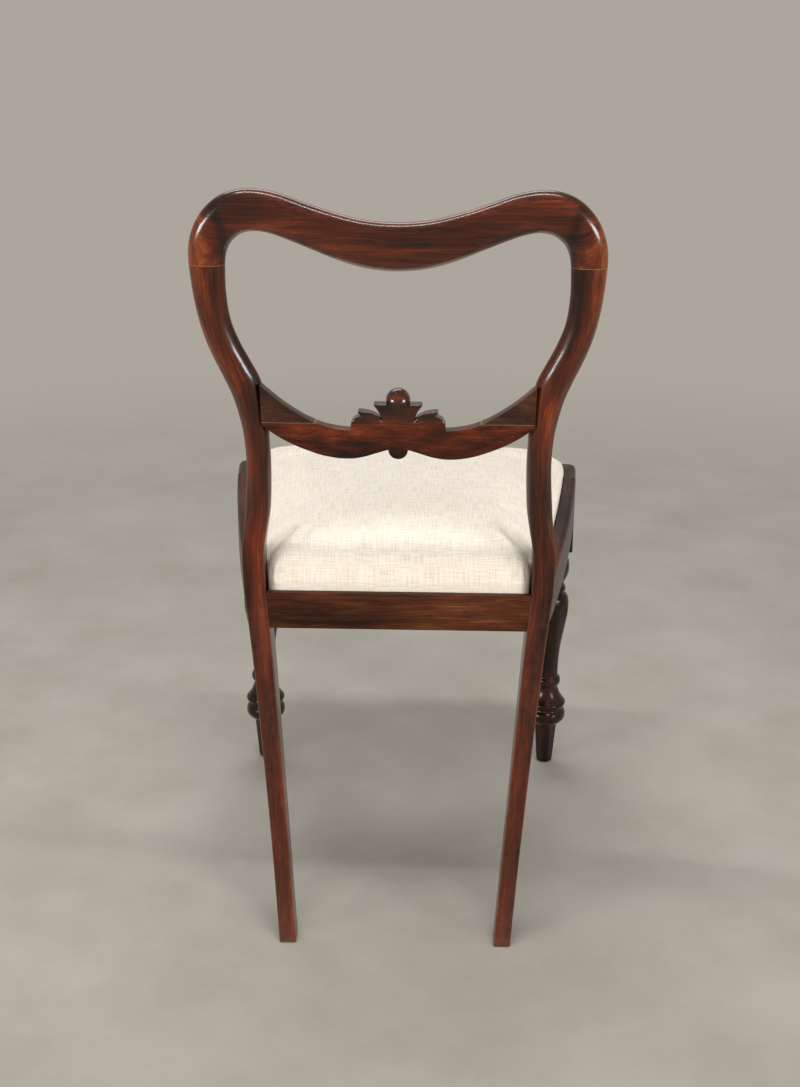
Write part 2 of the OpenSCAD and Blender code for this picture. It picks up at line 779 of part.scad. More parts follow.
// Front legs: a block with a rounded outer corner over a turned and faceted leg
module turned(shares) {
    last = len(shares) - 1;
    points = [for (row = shares) [row[0] * ring_r, row[1] * turned_h]];
    rotate_extrude() polygon(concat([[0, points[0][1]]], points, [[0, points[last][1]]]));
}
module eight_sided(shares) {
    skin([
        for (k = [len(shares) - 1:-1:0])
        [
            for (a = [0:7])
            let (r = shares[k][0] * ring_r, turn = 45 * a + 22.5)
            [r * cos(turn), r * sin(turn), shares[k][1] * turned_h]
        ]
    ]);
}
module leg_block() {
    r = block_corner_r;
    corner = arc_points(block_outer_x - r, block_front_f - r, r, 0, 90, 6);
    intersection() {
        from_plan(concat(
            [[block_inner_x, block_rear_f], [block_outer_x, block_rear_f]],
            corner,
            [[block_inner_x, block_front_f]]
        ));
        across([
            [block_rear_f, turned_h], [block_front_f, turned_h],
            [block_front_f, rail_top(block_front_f)], [block_rear_f, rail_top(block_rear_f)]
        ]);
    }
}
module front_leg() {
    difference() {
        leg_block();
        rebate();
        rail_dowels(bore_clearance);
    }
    place_leg() {
        turned(turning_top_shares);
        turned(turning_low_shares);
        cylinder(r = core_share * ring_r, h = turned_h);
        intersection() {
            turned(baluster_shares);
            eight_sided([
                [1, 0.81], [0.98, 0.745], [0.95, 0.695], [0.82, 0.635], [0.64, 0.545],
                [0.575, 0.48], [0.57, 0.39]
            ]);
        }
        eight_sided([[foot_top_share, foot_h_share], [foot_low_share, 0]]);
    }
}
module place_leg() {
    translate([leg_x, rear_y - leg_f, 0]) children();
}
module left_front_leg() {
    color(dark_rosewood) mirror([1, 0, 0]) front_leg();
}
module right_front_leg() {
    color(dark_rosewood) front_leg();
}

// Corner blocks inside the rails, each with two screws
module corner_block(points) {
    intersection() {
        from_plan(points);
        seat_slab(-rebate_h - corner_block_drop - corner_block_h, -rebate_h - corner_block_drop);
    }
}
rear_block_f = rear_rail_recess + rear_rail_t;
rear_block_x = post_inner(0.83) - housing_clearance;
rear_block_clear_f = post_front_f + housing_clearance;
rear_block_long_f = rear_block_f + corner_block_run + housing_depth;
front_block_f = block_rear_f - corner_block_run;
front_block_x = block_inner_x - corner_block_run;
module rear_corner_block() {
    difference() {
        corner_block([
            [rear_block_x, rear_block_f],
            [rear_block_x - corner_block_run, rear_block_f],
            [side_in(rear_block_long_f), rear_block_long_f],
            [side_in(rear_block_clear_f), rear_block_clear_f],
            [rear_block_x, rear_block_clear_f]
        ]);
        rear_screws(bore_clearance);
    }
}
module front_corner_block() {
    difference() {
        corner_block([
            [side_in(front_block_f), front_block_f],
            [side_in(block_rear_f), block_rear_f],
            [block_inner_x, block_rear_f],
            [block_inner_x, front_rail_rear_f],
            [front_block_x, front_rail_rear_f]
        ]);
        front_screws(bore_clearance);
    }
}
module left_rear_corner_block() {
    color(beech) mirror([1, 0, 0]) rear_corner_block();
}
module right_rear_corner_block() {
    color(beech) rear_corner_block();
}
module left_front_corner_block() {
    color(beech) mirror([1, 0, 0]) front_corner_block();
}
module right_front_corner_block() {
    color(beech) front_corner_block();
}

// A screw with its tip at the origin and its head along +Z; extra > 0 gives its bore and a way in for the head
module screw(extra) {
    length = screw_in_rail + screw_in_block;
    cylinder(r = screw_r + extra, h = length + screw_head_h);
    translate([0, 0, length])
        cylinder(r = screw_head_r + 4 * extra, h = extra > 0 ? corner_block_run : screw_head_h);
}
function screw_z(f) = rail_top(f) - rebate_h - corner_block_drop - corner_block_h / 2;
module rear_screws(extra) {
    x = rear_block_x - screw_share * corner_block_run;
    translate([x, rear_y - rear_block_f + screw_in_rail, screw_z(rear_block_f) - screw_head_r])
        rotate([90, 0, 0]) screw(extra);
    f = rear_block_clear_f + screw_share * corner_block_run;
    translate([side_in(f) + screw_in_rail, rear_y - f, screw_z(f) + screw_head_r])
        rotate([0, -90, 0]) screw(extra);
}
module front_screws(extra) {
    x = block_inner_x - screw_share * corner_block_run;
    translate([x, rear_y - front_rail_rear_f - screw_in_rail, screw_z(front_rail_rear_f) - screw_head_r])
        rotate([-90, 0, 0]) screw(extra);
    f = block_rear_f - screw_share * corner_block_run;
    translate([side_in(f) + screw_in_rail, rear_y - f, screw_z(f) + screw_head_r])
        rotate([0, -90, 0]) screw(extra);
}
module corner_block_screws() {
    color(steel) both_sides() {
        rear_screws(0);
        front_screws(0);
    }
}

// The drop-in seat. Heights are over the rails' top plane.
cloth_low = -rebate_h + rest_gap;
pad_base = cloth_low + bottom_cloth_t;
frame_low = pad_base + cover_t;
frame_high = frame_low + frame_t;
web_high = frame_high + 2 * web_t;
hessian_low = web_high + tack_head_h + tack_head_r * slope + tack_clearance;
hessian_high = hessian_low + hessian_t;
frame_outline = seat_outline(seat_gap + cover_t);
frame_rear_f = well_rear_f + seat_gap + frame_rail_w;
frame_front_f = block_front_f - front_lip_w - front_gap - frame_rail_w;
function frame_in(f) = side_line(f) - side_lip - seat_gap - frame_rail_w;
module frame_piece(points) {
    intersection() {
        from_plan(frame_outline);
        from_plan(points);
        seat_slab(frame_low, frame_high);
    }
}
module frame_dowels(extra) {
    z_over = (frame_low + frame_high) / 2;
    for (f = [frame_rear_f, frame_front_f], s = [0.3, 0.7]) {
        x = frame_in(f) + s * frame_rail_w;
        dowel_y([x, rear_y - f, rail_top(f) + z_over], frame_dowel_r + extra, frame_dowel_half + extra);
    }
}
module seat_frame_rear() {
    w = block_outer_x;
    color(beech)
    difference() {
        frame_piece([[-w, 0], [w, 0], [w, frame_rear_f], [-w, frame_rear_f]]);
        both_sides() frame_dowels(bore_clearance);
    }
}
module seat_frame_front() {
    w = block_outer_x;
    color(beech)
    difference() {
        frame_piece([[-w, frame_front_f], [w, frame_front_f], [w, seat_depth], [-w, seat_depth]]);
        both_sides() frame_dowels(bore_clearance);
    }
}
module seat_frame_side() {
    w = block_outer_x;
    difference() {
        frame_piece([
            [frame_in(frame_rear_f), frame_rear_f], [w, frame_rear_f],
            [w, frame_front_f], [frame_in(frame_front_f), frame_front_f]
        ]);
        frame_dowels(bore_clearance);
    }
}
module seat_frame_left() {
    color(beech) mirror([1, 0, 0]) seat_frame_side();
}
module seat_frame_right() {
    color(beech) seat_frame_side();
}
module seat_frame_dowels() {
    color(beech) both_sides() frame_dowels(0);
}

// Webbing: lengthwise straps lie on the frame, crosswise straps lie on them
web_rear_f = frame_rear_f - 0.7 * frame_rail_w;
web_front_f = frame_front_f + 0.7 * frame_rail_w;
function web_half(f) = frame_in(f) + 0.7 * frame_rail_w;
function web_x(share) = share * frame_in(frame_rear_f);
function web_f(share) = share * seat_depth;
module webbing_lengthwise() {
    color("#b49a6a")
    for (share = web_across_shares) {
        x = web_x(share);
        intersection() {
            from_plan([
                [x - web_w / 2, web_rear_f], [x + web_w / 2, web_rear_f],
                [x + web_w / 2, web_front_f], [x - web_w / 2, web_front_f]
            ]);
            seat_slab(frame_high, frame_high + web_t);
        }
    }
}
module webbing_crosswise() {
    color("#b49a6a")
    for (share = web_along_shares) {
        f = web_f(share);
        w = web_half(f);
        intersection() {
            from_plan([[-w, f - web_w / 2], [w, f - web_w / 2], [w, f + web_w / 2], [-w, f + web_w / 2]]);
            seat_slab(frame_high + web_t, web_high);
        }
    }
}
// A tack with its head's underside at the origin, pointing down, and one pointing up
module tack(shaft) {
    translate([0, 0, -shaft]) cylinder(r = tack_r, h = shaft);
    cylinder(r = tack_head_r, h = tack_head_h);
}
module webbing_tacks() {
    color(steel) {
        for (share = web_across_shares, f = [web_rear_f, web_front_f], s = [-0.3, 0.3]) {
            inward = f < web_front_f ? tack_edge : -tack_edge;
            translate([
                web_x(share) + s * web_w, rear_y - f - inward,
                rail_top(f + inward) + frame_high + web_t
            ])
                tack(tack_in_wood);
        }
        for (share = web_along_shares, side = [-1, 1], s = [-0.3, 0.3]) {
            f = web_f(share) + s * web_w;
            translate([
                side * (web_half(web_f(share)) - tack_edge), rear_y - f,
                rail_top(f) + web_high
            ])
                tack(tack_in_wood + web_t);
        }
    }
}
module hessian() {
    color("#a98c5e")
    intersection() {
        from_plan(seat_outline(seat_gap + cover_t + tack_edge));
        seat_slab(hessian_low, hessian_high);
    }
}

// The cushion form: rings of the seat's outline, drawn in towards a middle point as they climb.
// The notches round the posts fade out over the crown.
pad_outline = seat_outline(seat_gap);
pad_mid_f = mix(well_rear_f, block_front_f, 0.5);
function pad_edge_h(f) = mix(pad_rear_h, pad_front_h, f / seat_depth) - pad_base;
function soft_x(p) =
    let (side = side_line(max(p[1], side_end_f)) - side_lip - seat_gap)
    abs(p[0]) > well_rear_x / 2 && p[1] < pad_mid_f ? sign(p[0]) * mix(abs(p[0]), side, 0.5) : p[0];
function pad_ring(row, inset, lift) = [
    for (p = seat_outline(seat_gap + inset))
    let (
        s = pad_shares[row][0],
        blend = 1 - s,
        x = s * mix(p[0], soft_x(p), min(1, 4 * blend)),
        f = pad_mid_f + s * (p[1] - pad_mid_f),
        h = max(pad_edge_h(f) * pad_shares[row][1] - inset, lift)
    )
    [x, rear_y - f, rail_top(f) + pad_base + h]
];
function pad_top(inset) =
    let (top = pad_shares[len(pad_shares) - 1][1])
    [0, rear_y - pad_mid_f, rail_top(pad_mid_f) + pad_base + pad_edge_h(pad_mid_f) * top - inset];
function hem_ring(lift) = [
    for (p = seat_outline(seat_gap + hem_w))
    [p[0], rear_y - p[1], rail_top(p[1]) + pad_base + lift]
];
module linen_cover() {
    last = len(pad_shares) - 2;
    color(linen)
        skin_to_points(
            concat(
                [for (row = [last:-1:0]) pad_ring(row, cover_t, cover_t)],
                [hem_ring(cover_t), hem_ring(0)],
                [for (row = [0:last]) pad_ring(row, 0, 0)]
            ),
            pad_top(cover_t),
            pad_top(0)
        );
}
module stuffing() {
    last = len(pad_shares) - 2;
    inset = cover_t + housing_clearance;
    low = hessian_high + layer_clearance;
    base = [
        for (p = seat_outline(seat_gap + inset))
        [p[0], rear_y - p[1], rail_top(p[1]) + low]
    ];
    color("#4a4038")
        skin_to_points(
            concat([base], [for (row = [3:last]) pad_ring(row, inset, low - pad_base)]),
            [0, rear_y - pad_mid_f, rail_top(pad_mid_f) + low],
            pad_top(inset)
        );
}
module bottom_cloth() {
    color("#2b2a28")
    intersection() {
        from_plan(seat_outline(seat_gap + bottom_cloth_edge));
        seat_slab(cloth_low, pad_base);
    }
}
module bottom_tack(x, f) {
    translate([x, rear_y - f, rail_top(f) + cloth_low])
        rotate([180, 0, 0])
        tack(tack_in_wood);
}
module bottom_tacks() {
    rear_f = rear_rail_recess + rear_rail_t + tack_edge;
    front_f = front_rail_rear_f - tack_edge;
    color(steel) {
        for (share = tack_shares) {
            bottom_tack(mix(-well_rear_x, well_rear_x, share), rear_f);
            bottom_tack(mix(-block_inner_x, block_inner_x, share), front_f);
        }
        both_sides()
            for (share = tack_shares) {
                f = mix(rear_block_long_f, front_block_f, share);
                bottom_tack(side_in(f) - tack_edge, f);
            }
    }
}

left_back_post();
right_back_post();
crest_rail();
crest_rail_dowels();
cross_rail_board();
cross_rail_left_ear();
cross_rail_right_ear();
cross_rail_carved_crest();
cross_rail_dowels();
rear_seat_rail();
left_side_rail();
right_side_rail();
front_seat_rail();
seat_rail_dowels();
left_front_leg();
right_front_leg();
left_rear_corner_block();
right_rear_corner_block();
left_front_corner_block();
right_front_corner_block();
corner_block_screws();
seat_frame_rear();
seat_frame_front();
seat_frame_left();
seat_frame_right();
seat_frame_dowels();
webbing_lengthwise();
webbing_crosswise();
webbing_tacks();
hessian();
stuffing();
linen_cover();
bottom_cloth();
bottom_tacks();
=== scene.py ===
"""Balloon back chair in French polished rosewood, with a drop-in seat in linen.

Shapes are worked out in millimetres and become metres when a mesh is made. The chair faces -Y and stands on
z = 0. A forward distance f runs from the back face of the rear seat rail towards -Y. The tables and sizes
are those of the chair's own source.
"""
import math

import bpy
import numpy as np
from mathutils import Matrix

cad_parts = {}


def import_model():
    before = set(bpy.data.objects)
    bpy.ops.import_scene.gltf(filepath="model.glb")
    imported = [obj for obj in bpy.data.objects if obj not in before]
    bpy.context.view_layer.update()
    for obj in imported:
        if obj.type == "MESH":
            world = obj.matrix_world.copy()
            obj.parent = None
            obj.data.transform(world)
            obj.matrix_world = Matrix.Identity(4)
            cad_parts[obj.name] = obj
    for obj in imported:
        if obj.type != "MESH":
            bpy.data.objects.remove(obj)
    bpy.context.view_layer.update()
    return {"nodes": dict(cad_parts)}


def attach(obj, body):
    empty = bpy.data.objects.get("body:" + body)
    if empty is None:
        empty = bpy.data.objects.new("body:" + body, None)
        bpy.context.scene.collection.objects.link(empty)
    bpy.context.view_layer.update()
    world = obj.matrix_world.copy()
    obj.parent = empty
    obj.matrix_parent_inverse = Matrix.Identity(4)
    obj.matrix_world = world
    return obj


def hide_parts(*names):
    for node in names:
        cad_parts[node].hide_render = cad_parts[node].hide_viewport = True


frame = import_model()

MM = 0.001
# The back face of the rear seat rail
REAR_Y = 149.0
# Heights of the rear rail, of the joints between posts and crest rail, and of the chair
RAIL_Z = 411.0
JOINT_Z = 800.0
CHAIR_H = 880.0
# The seat's depth, and its climb towards the front
SEAT_D = 398.0
SLOPE = 42 / SEAT_D
# A post: its width and depth, the rake of its leg and of its top, how far apart feet and waists stand, and
# how far it swings in at the waist and out at the balloon
POST_W = 28
POST_D = 30
LEG_RAKE = 100
BACK_RAKE = 84
FEET_APART = 255
WAISTS_APART = 334
WAIST_IN = 9.5
BALLOON_OUT = 40.5
# The crest rail's end and middle: the joint's distance from the chair's middle, and both widths
JOINT_X = 198
JOINT_W = 38.08
CREST_W = 52
# The knot outside each shoulder that the crest rail's grain curls round
KNOT_X = 224
KNOT_Z = 806
# The cross rail: heights in the middle and at the posts, half length, where the ears start, glue line,
# thickness and round drop
CROSS_LOW_Z = 577.9
CROSS_TOP_Z = 612.9
CROSS_END_LOW_Z = 612.9
CROSS_END_Z = 663.1
CROSS_END_X = 150.6
EAR_X = 93
GLUE_Z = 621.06
CROSS_T = 18.0
DROP_R = 10.8
# The carving: its half width, its height and its ball
CARVING_W = 53.0
CARVING_H = 30.0
BALL_R = 13.4
# The front legs: the square block, the turning under it and its largest ring
BLOCK_OUTER_X = 233.0
BLOCK_INNER_X = 179.0
BLOCK_REAR_F = 338.0
BLOCK_FRONT_F = 392.0
LEG_X = 206.0
LEG_F = 365.0
TURNED_H = 338.0
RING_R = 28.0
# The seat rails: lips, rebate and its corner, heights and thicknesses, rounding outside, the blocks' splay
SIDE_LIP = 18.0
WELL_REAR_F = 8.0
REBATE_H = 10.0
REBATE_R = 24
REAR_RAIL_X = 155.9
REAR_RAIL_H = 45
REAR_RAIL_T = 25
SIDE_RAIL_H = 50
SIDE_RAIL_T = 30
FRONT_RAIL_H = 60
FRONT_RAIL_T = 28
SIDE_END_F = 33.9
ARRIS_R = 7.0
SPLAY = 4.5
# A post's faces at the seat, as the notch and the side rail meet them
POST_FRONT_F = 35.4
POST_INNER_X = 154.4
POST_OUTER_X = 179.6
# The drop-in seat: cloth, pad and frame above the rails' plane, the frame's width, the gap round it and what
# is added to the gap in front, and the pad's height
CLOTH_LOW = -REBATE_H + 0.3
PAD_BASE = CLOTH_LOW + 0.8
FRAME_HIGH = PAD_BASE + 1.2 + 20
FRAME_W = 45
FRAME_GAP = 2
FRONT_GAP = 1.6
PAD_REAR_H = 54
PAD_FRONT_H = 35


# ---- Curves and sections

def mix(a, b, share):
    """The value that lies a share of the way from a to b."""
    return a + (b - a) * share


def step(low, high, value):
    """Climbs smoothly from 0 at low to 1 at high: 3 s squared minus 2 s cubed."""
    s = np.clip((value - low) / (high - low), 0, 1)
    return s * s * (3 - 2 * s)


def unit(vectors):
    """Each vector divided by its length."""
    return vectors / np.linalg.norm(vectors, axis=-1, keepdims=True)


def smooth(table, t, column):
    """A cubic curve through the table's rows. Each row's slope is that between its two neighbours."""
    x = table[:, 0]
    y = table[:, column]
    slope = np.gradient(y)
    slope[1:-1] = (y[2:] - y[:-2]) / (x[2:] - x[:-2])
    slope[0] = (y[1] - y[0]) / (x[1] - x[0])
    slope[-1] = (y[-1] - y[-2]) / (x[-1] - x[-2])
    i = np.clip(np.searchsorted(x, t, side="right") - 1, 0, len(x) - 2)
    w = x[i + 1] - x[i]
    s = (t - x[i]) / w
    rise = (1 + 2 * s) * (1 - s) ** 2 * y[i] + s * s * (3 - 2 * s) * y[i + 1]
    return rise + s * (1 - s) * w * ((1 - s) * slope[i] - s * slope[i + 1])


def lengths(points):
    """How far along a line of points each of them lies."""
    return np.concatenate([[0], np.cumsum(np.linalg.norm(np.diff(points, axis=0), axis=1))])


def through(points, count):
    """Points on a smooth curve through the given ones, evenly spaced by the length along them."""
    table = np.column_stack([lengths(points), points])
    t = np.linspace(0, table[-1, 0], count)
    return np.stack([smooth(table, t, 1), smooth(table, t, 2)], 1)


def spaced(points, count):
    """Evenly spaced points round a closed line of points, whose last is its first again."""
    length = lengths(points)
    t = np.linspace(0, length[-1], count + 1)[:-1]
    return np.stack([np.interp(t, length, points[:, k]) for k in (0, 1)], 1)


def rounded_rings(width, depth, radius, arc_steps=7, side_steps=5):
    """One ring for each width, depth and radius: four quarter arcs, joined by evenly divided sides."""
    width, depth, radius = (np.atleast_1d(v)[:, None, None] for v in (width, depth, radius))
    sx = np.array([1, -1, -1, 1])[None, :, None]
    sy = np.array([1, 1, -1, -1])[None, :, None]
    angle = math.pi / 2 * (np.arange(4)[None, :, None] + np.linspace(0, 1, arc_steps + 1))
    x = sx * (width / 2 - radius) + radius * np.cos(angle)
    y = sy * (depth / 2 - radius) + radius * np.sin(angle)
    arcs = np.stack([x, y], -1)
    ahead = np.roll(arcs, -1, 1)[:, :, :1]
    share = np.linspace(0, 1, side_steps + 1)[1:-1, None]
    sides = arcs[:, :, -1:] + (ahead - arcs[:, :, -1:]) * share
    return np.concatenate([arcs, sides], 2).reshape(len(arcs), -1, 2)


def eased(corners, radius, steps=4):
    """Sections with their corners softened: each corner becomes a parabola between two points near it."""
    radius = np.broadcast_to(radius, corners.shape[:-1])[..., None]
    first = corners + radius * unit(np.roll(corners, 1, -2) - corners)
    final = corners + radius * unit(np.roll(corners, -1, -2) - corners)
    s = np.linspace(0, 1, steps + 1)[:, None]
    curve = (1 - s) ** 2 * first[..., None, :] + 2 * s * (1 - s) * corners[..., None, :]
    curve = curve + s * s * final[..., None, :]
    return curve.reshape(len(corners), -1, 2)


# ---- Meshes

def placed(x, f, z):
    """Points of the chair from their places across it, their forward distances and their heights."""
    return np.stack(np.broadcast_arrays(x, REAR_Y - f, z), -1)


def tube(rings):
    """A closed shell through rings of equally many points; a fan of triangles closes each end."""
    n, m = rings.shape[:2]
    k = np.arange(m)
    ahead = (k + 1) % m
    row = m * np.arange(n - 1)[:, None]
    quads = np.stack([row + k, row + ahead, row + m + ahead, row + m + k], -1).reshape(-1, 4)
    first = np.stack([ahead, k, np.full(m, n * m)], 1)
    final = np.stack([(n - 1) * m + k, (n - 1) * m + ahead, np.full(m, n * m + 1)], 1)
    points = np.concatenate([rings.reshape(-1, 3), [rings[0].mean(0), rings[-1].mean(0)]])
    return points, [quads, first, final]


def volume(points, faces):
    """Six times the signed volume: the triple product of each triangle's corners, added up."""
    triangles = [faces[:, :3]] if faces.shape[1] == 3 else [faces[:, :3], faces[:, [0, 2, 3]]]
    a, b, c = (points[np.concatenate(triangles)][:, k] for k in range(3))
    return np.einsum("ij,ij->", a, np.cross(b, c))


def make(name, slot, shells, finish, body, replaced, grain=None, wear=0, figure_and_glow=0, sharp=38):
    """One object from closed shells in millimetres, with its faces turned outwards.

    grain gives each point's place in the plank it was sawn from (along, across, through). wear says how bare
    the wood is, from 0 to 1, and figure how far it runs to orange, or to black below 0; on the posts' outer
    flanks that orange is a painted highlight. Edges that turn by more than sharp degrees stay crisp.
    """
    corners = []
    sizes = []
    start = 0
    for points, groups in shells:
        outwards = sum(volume(points, g) for g in groups) > 0
        for g in groups:
            corners.append(((g if outwards else g[:, ::-1]) + start).ravel())
            sizes.append(np.full(len(g), g.shape[1]))
        start += len(points)
    points = np.concatenate([s[0] for s in shells])
    corners = np.concatenate(corners)
    sizes = np.concatenate(sizes)
    mesh = bpy.data.meshes.new(name)
    mesh.vertices.add(len(points))
    mesh.vertices.foreach_set("co", (points * MM).ravel())
    mesh.loops.add(len(corners))
    mesh.loops.foreach_set("vertex_index", corners)
    mesh.polygons.add(len(sizes))
    mesh.polygons.foreach_set("loop_start", np.concatenate([[0], np.cumsum(sizes)[:-1]]))
    mesh.polygons.foreach_set("use_smooth", np.ones(len(sizes), bool))
    mesh.update(calc_edges=True)
    mesh.set_sharp_from_angle(angle=math.radians(sharp))
    if grain is not None:
        grained = mesh.attributes.new("grain", "FLOAT_VECTOR", "POINT")
        grained.data.foreach_set("vector", (grain * MM).ravel())
        for attribute, value in (("wear", wear), ("figure_and_glow", figure_and_glow)):
            value = np.broadcast_to(np.asarray(value, float), len(points)).copy()
            mesh.attributes.new(attribute, "FLOAT", "POINT").data.foreach_set("value", value)
    made = bpy.data.objects.new(name, mesh)
    bpy.context.scene.collection.objects.link(made)
    mesh.materials.append(finish)
    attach(made, body)
    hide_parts(*replaced)
    return made


def on_side(side, points):
    """The same points on the chair's right for 1, or mirrored to its left for -1."""
    return points * np.array([side, 1, 1])


# ---- Materials

def linear(code):
    """An sRGB hex colour as linear RGBA."""
    c = np.array([int(code[i:i + 2], 16) for i in (1, 3, 5)]) / 255
    c = np.where(c <= 0.04045, c / 12.92, ((c + 0.055) / 1.055) ** 2.4)
    return (*c.tolist(), 1.0)


def feed(made, inputs):
    """Gives a node its inputs, by socket name or number: values, or other nodes' outputs to link."""
    for name, value in inputs.items():
        if isinstance(value, bpy.types.NodeSocket):
            made.id_data.links.new(value, made.inputs[name])
        else:
            made.inputs[name].default_value = value


def node(tree, kind, inputs, stops=(), **settings):
    """Adds a node with its inputs, its settings and a colour ramp's stops, and gives its outputs."""
    made = tree.nodes.new("ShaderNode" + kind)
    for name, value in settings.items():
        setattr(made, name, value)
    feed(made, inputs)
    for i, (place, code) in enumerate(stops):
        ramp = made.color_ramp.elements
        stop = ramp[i] if i < 2 else ramp.new(place)
        stop.position = place
        stop.color = linear(code)
    return made.outputs


def material(name):
    """A new material, its nodes, and its surface shader."""
    made = bpy.data.materials.new(name)
    made.use_nodes = True
    tree = made.node_tree
    return made, tree, tree.nodes["Principled BSDF"]


def rosewood(name, tones, seams, gloss, shine):
    """Rosewood: broad soft zones of dark brown, red and orange, fine lines of grain, and long open pores.

    French polish gives a clear gloss over it, which dulls to bare, dusty wood where the piece is worn.
    seams are the heights of joints that show as a pale line, 0.7 mm wide, of old glue and filler.
    """
    made, tree, skin = material(name)
    place = node(tree, "Attribute", {}, attribute_name="grain")["Vector"]
    wear = node(tree, "Attribute", {}, attribute_name="wear")["Fac"]
    # The figure attribute carries the grain's orange figure, and on the posts' outer flanks a painted
    # highlight glow
    figure_and_glow = node(tree, "Attribute", {}, attribute_name="figure_and_glow")["Fac"]
    # The lines wander by up to 6 mm over 100 mm
    coarse = node(tree, "Mapping", {"Vector": place, "Scale": (9, 24, 24)})
    wander = node(tree, "TexNoise", {"Vector": coarse[0], "Scale": 1, "Detail": 2})
    bend = node(tree, "VectorMath", {0: wander["Color"], 1: (0.5, 0.5, 0.5)}, operation="SUBTRACT")
    sway = {0: bend[0], 1: (0, 0.013, 0.013), 2: place}
    moved = node(tree, "VectorMath", sway, operation="MULTIPLY_ADD")[0]
    # Zones 30 mm wide, streaks 6 mm, lines 1.6 mm, and pores drawn 0.9 mm wide so that they show
    layers = []
    for scale, detail in (((5, 34, 34), 2), ((8, 170, 170), 3), ((16, 620, 620), 2), ((80, 1100, 1100), 1)):
        run = node(tree, "Mapping", {"Vector": moved, "Scale": scale})[0]
        noise = node(tree, "TexNoise", {"Vector": run, "Scale": 1, "Detail": detail, "Roughness": 0.6})
        layers.append(noise["Fac"])
    zone, streak, line, pore = layers
    tone = node(tree, "Math", {0: zone, 1: -0.415}, operation="ADD")[0]
    for layer, share in ((streak, 0.36), (line, 0.44), (figure_and_glow, 0.22)):
        tone = node(tree, "Math", {0: layer, 1: share, 2: tone}, operation="MULTIPLY_ADD")[0]
    open_pore = node(tree, "MapRange", {"Value": pore, "From Min": 0.58, "From Max": 0.7, "To Max": 0.42})[0]
    # Wear and dust break up over 10 mm
    rub = node(tree, "TexNoise", {"Vector": place, "Scale": 95, "Detail": 4, "Roughness": 0.7})
    bare = node(tree, "Math", {0: rub["Fac"], 1: wear}, operation="MULTIPLY")[0]
    bare = node(tree, "MapRange", {"Value": bare, "From Min": 0.08, "From Max": 0.62, "To Max": 0.7})[0]
    x, y, z = node(tree, "SeparateXYZ", {0: node(tree, "TexCoord", {})["Object"]})
    # The glue line is pale, but dark under the carving, within 60 mm of the middle
    aside = node(tree, "Math", {0: x, 1: 0, 2: 0.06}, operation="COMPARE")[0]
    filler = node(tree, "Mix", {0: aside, 6: linear("#8f775c"), 7: linear("#0c0402")}, data_type="RGBA")[2]
    tints = [(open_pore, linear("#120604")), (bare, linear("#7d4a3a"))]
    for seam in seams:
        near = node(tree, "Math", {0: z, 1: seam * MM, 2: 0.00035}, operation="COMPARE")[0]
        tints.append((node(tree, "Math", {0: near, 1: 0.5}, operation="MULTIPLY")[0], filler))
    colour = node(tree, "ValToRGB", {"Fac": tone}, stops=tones)["Color"]
    for share, tint in tints:
        colour = node(tree, "Mix", {0: share, 6: colour, 7: tint}, data_type="RGBA")[2]
    rough = node(tree, "Math", {0: rub["Fac"], 1: 0.1, 2: gloss - 0.05}, operation="MULTIPLY_ADD")[0]
    rough = node(tree, "Math", {0: bare, 1: 0.3, 2: rough}, operation="MULTIPLY_ADD")[0]
    relief = node(tree, "Math", {0: line, 1: open_pore}, operation="SUBTRACT")[0]
    bump = node(tree, "Bump", {"Height": relief, "Strength": 0.1, "Distance": 0.0004})[0]
    feed(skin, {"Base Color": colour, "Roughness": rough, "Specular IOR Level": 0.14, "Coat Weight": shine,
                "Coat Roughness": 0.16, "Normal": bump})
    return made


def beech(name, scale):
    """Raw beech, sawn and never polished: pale tan with short dark flecks along the grain, dry and dusty."""
    made, tree, skin = material(name)
    place = node(tree, "TexCoord", {})["Object"]
    along = node(tree, "Mapping", {"Vector": place, "Scale": scale})
    flecks = node(tree, "Mapping", {"Vector": along[0], "Scale": (4, 4, 4)})
    band = node(tree, "TexNoise", {"Vector": along[0], "Scale": 1, "Detail": 4})
    fleck = node(tree, "TexNoise", {"Vector": flecks[0], "Scale": 1, "Detail": 2})
    colour = node(tree, "ValToRGB", {"Fac": band["Fac"]},
                  stops=[(0.3, "#a67c4c"), (0.7, "#cfa876"), (0.5, "#bd9360")])
    dark = node(tree, "MapRange", {"Value": fleck["Fac"], "From Min": 0.6, "From Max": 0.7, "To Max": 0.5})
    colour = node(tree, "Mix", {0: dark[0], 6: colour[0], 7: linear("#7b552f")}, data_type="RGBA")[2]
    bump = node(tree, "Bump", {"Height": band["Fac"], "Strength": 0.3, "Distance": 0.0004})[0]
    feed(skin, {"Base Color": colour, "Roughness": 0.72, "Normal": bump})
    return made


def steel(name, bright, dull):
    """Forged steel of tacks and screws: dark blue-grey, dulled by rust in spots of 1 to 2 mm."""
    made, tree, skin = material(name)
    place = node(tree, "TexCoord", {})["Object"]
    spots = node(tree, "TexNoise", {"Vector": place, "Scale": 700, "Detail": 3})
    colour = node(tree, "ValToRGB", {"Fac": spots["Fac"]},
                  stops=[(0.42, bright), (0.66, "#5a3623"), (0.55, dull)])[0]
    rough = node(tree, "MapRange", {"Value": spots["Fac"], "To Min": 0.25, "To Max": 0.75})[0]
    feed(skin, {"Base Color": colour, "Metallic": 1, "Roughness": rough})
    return made


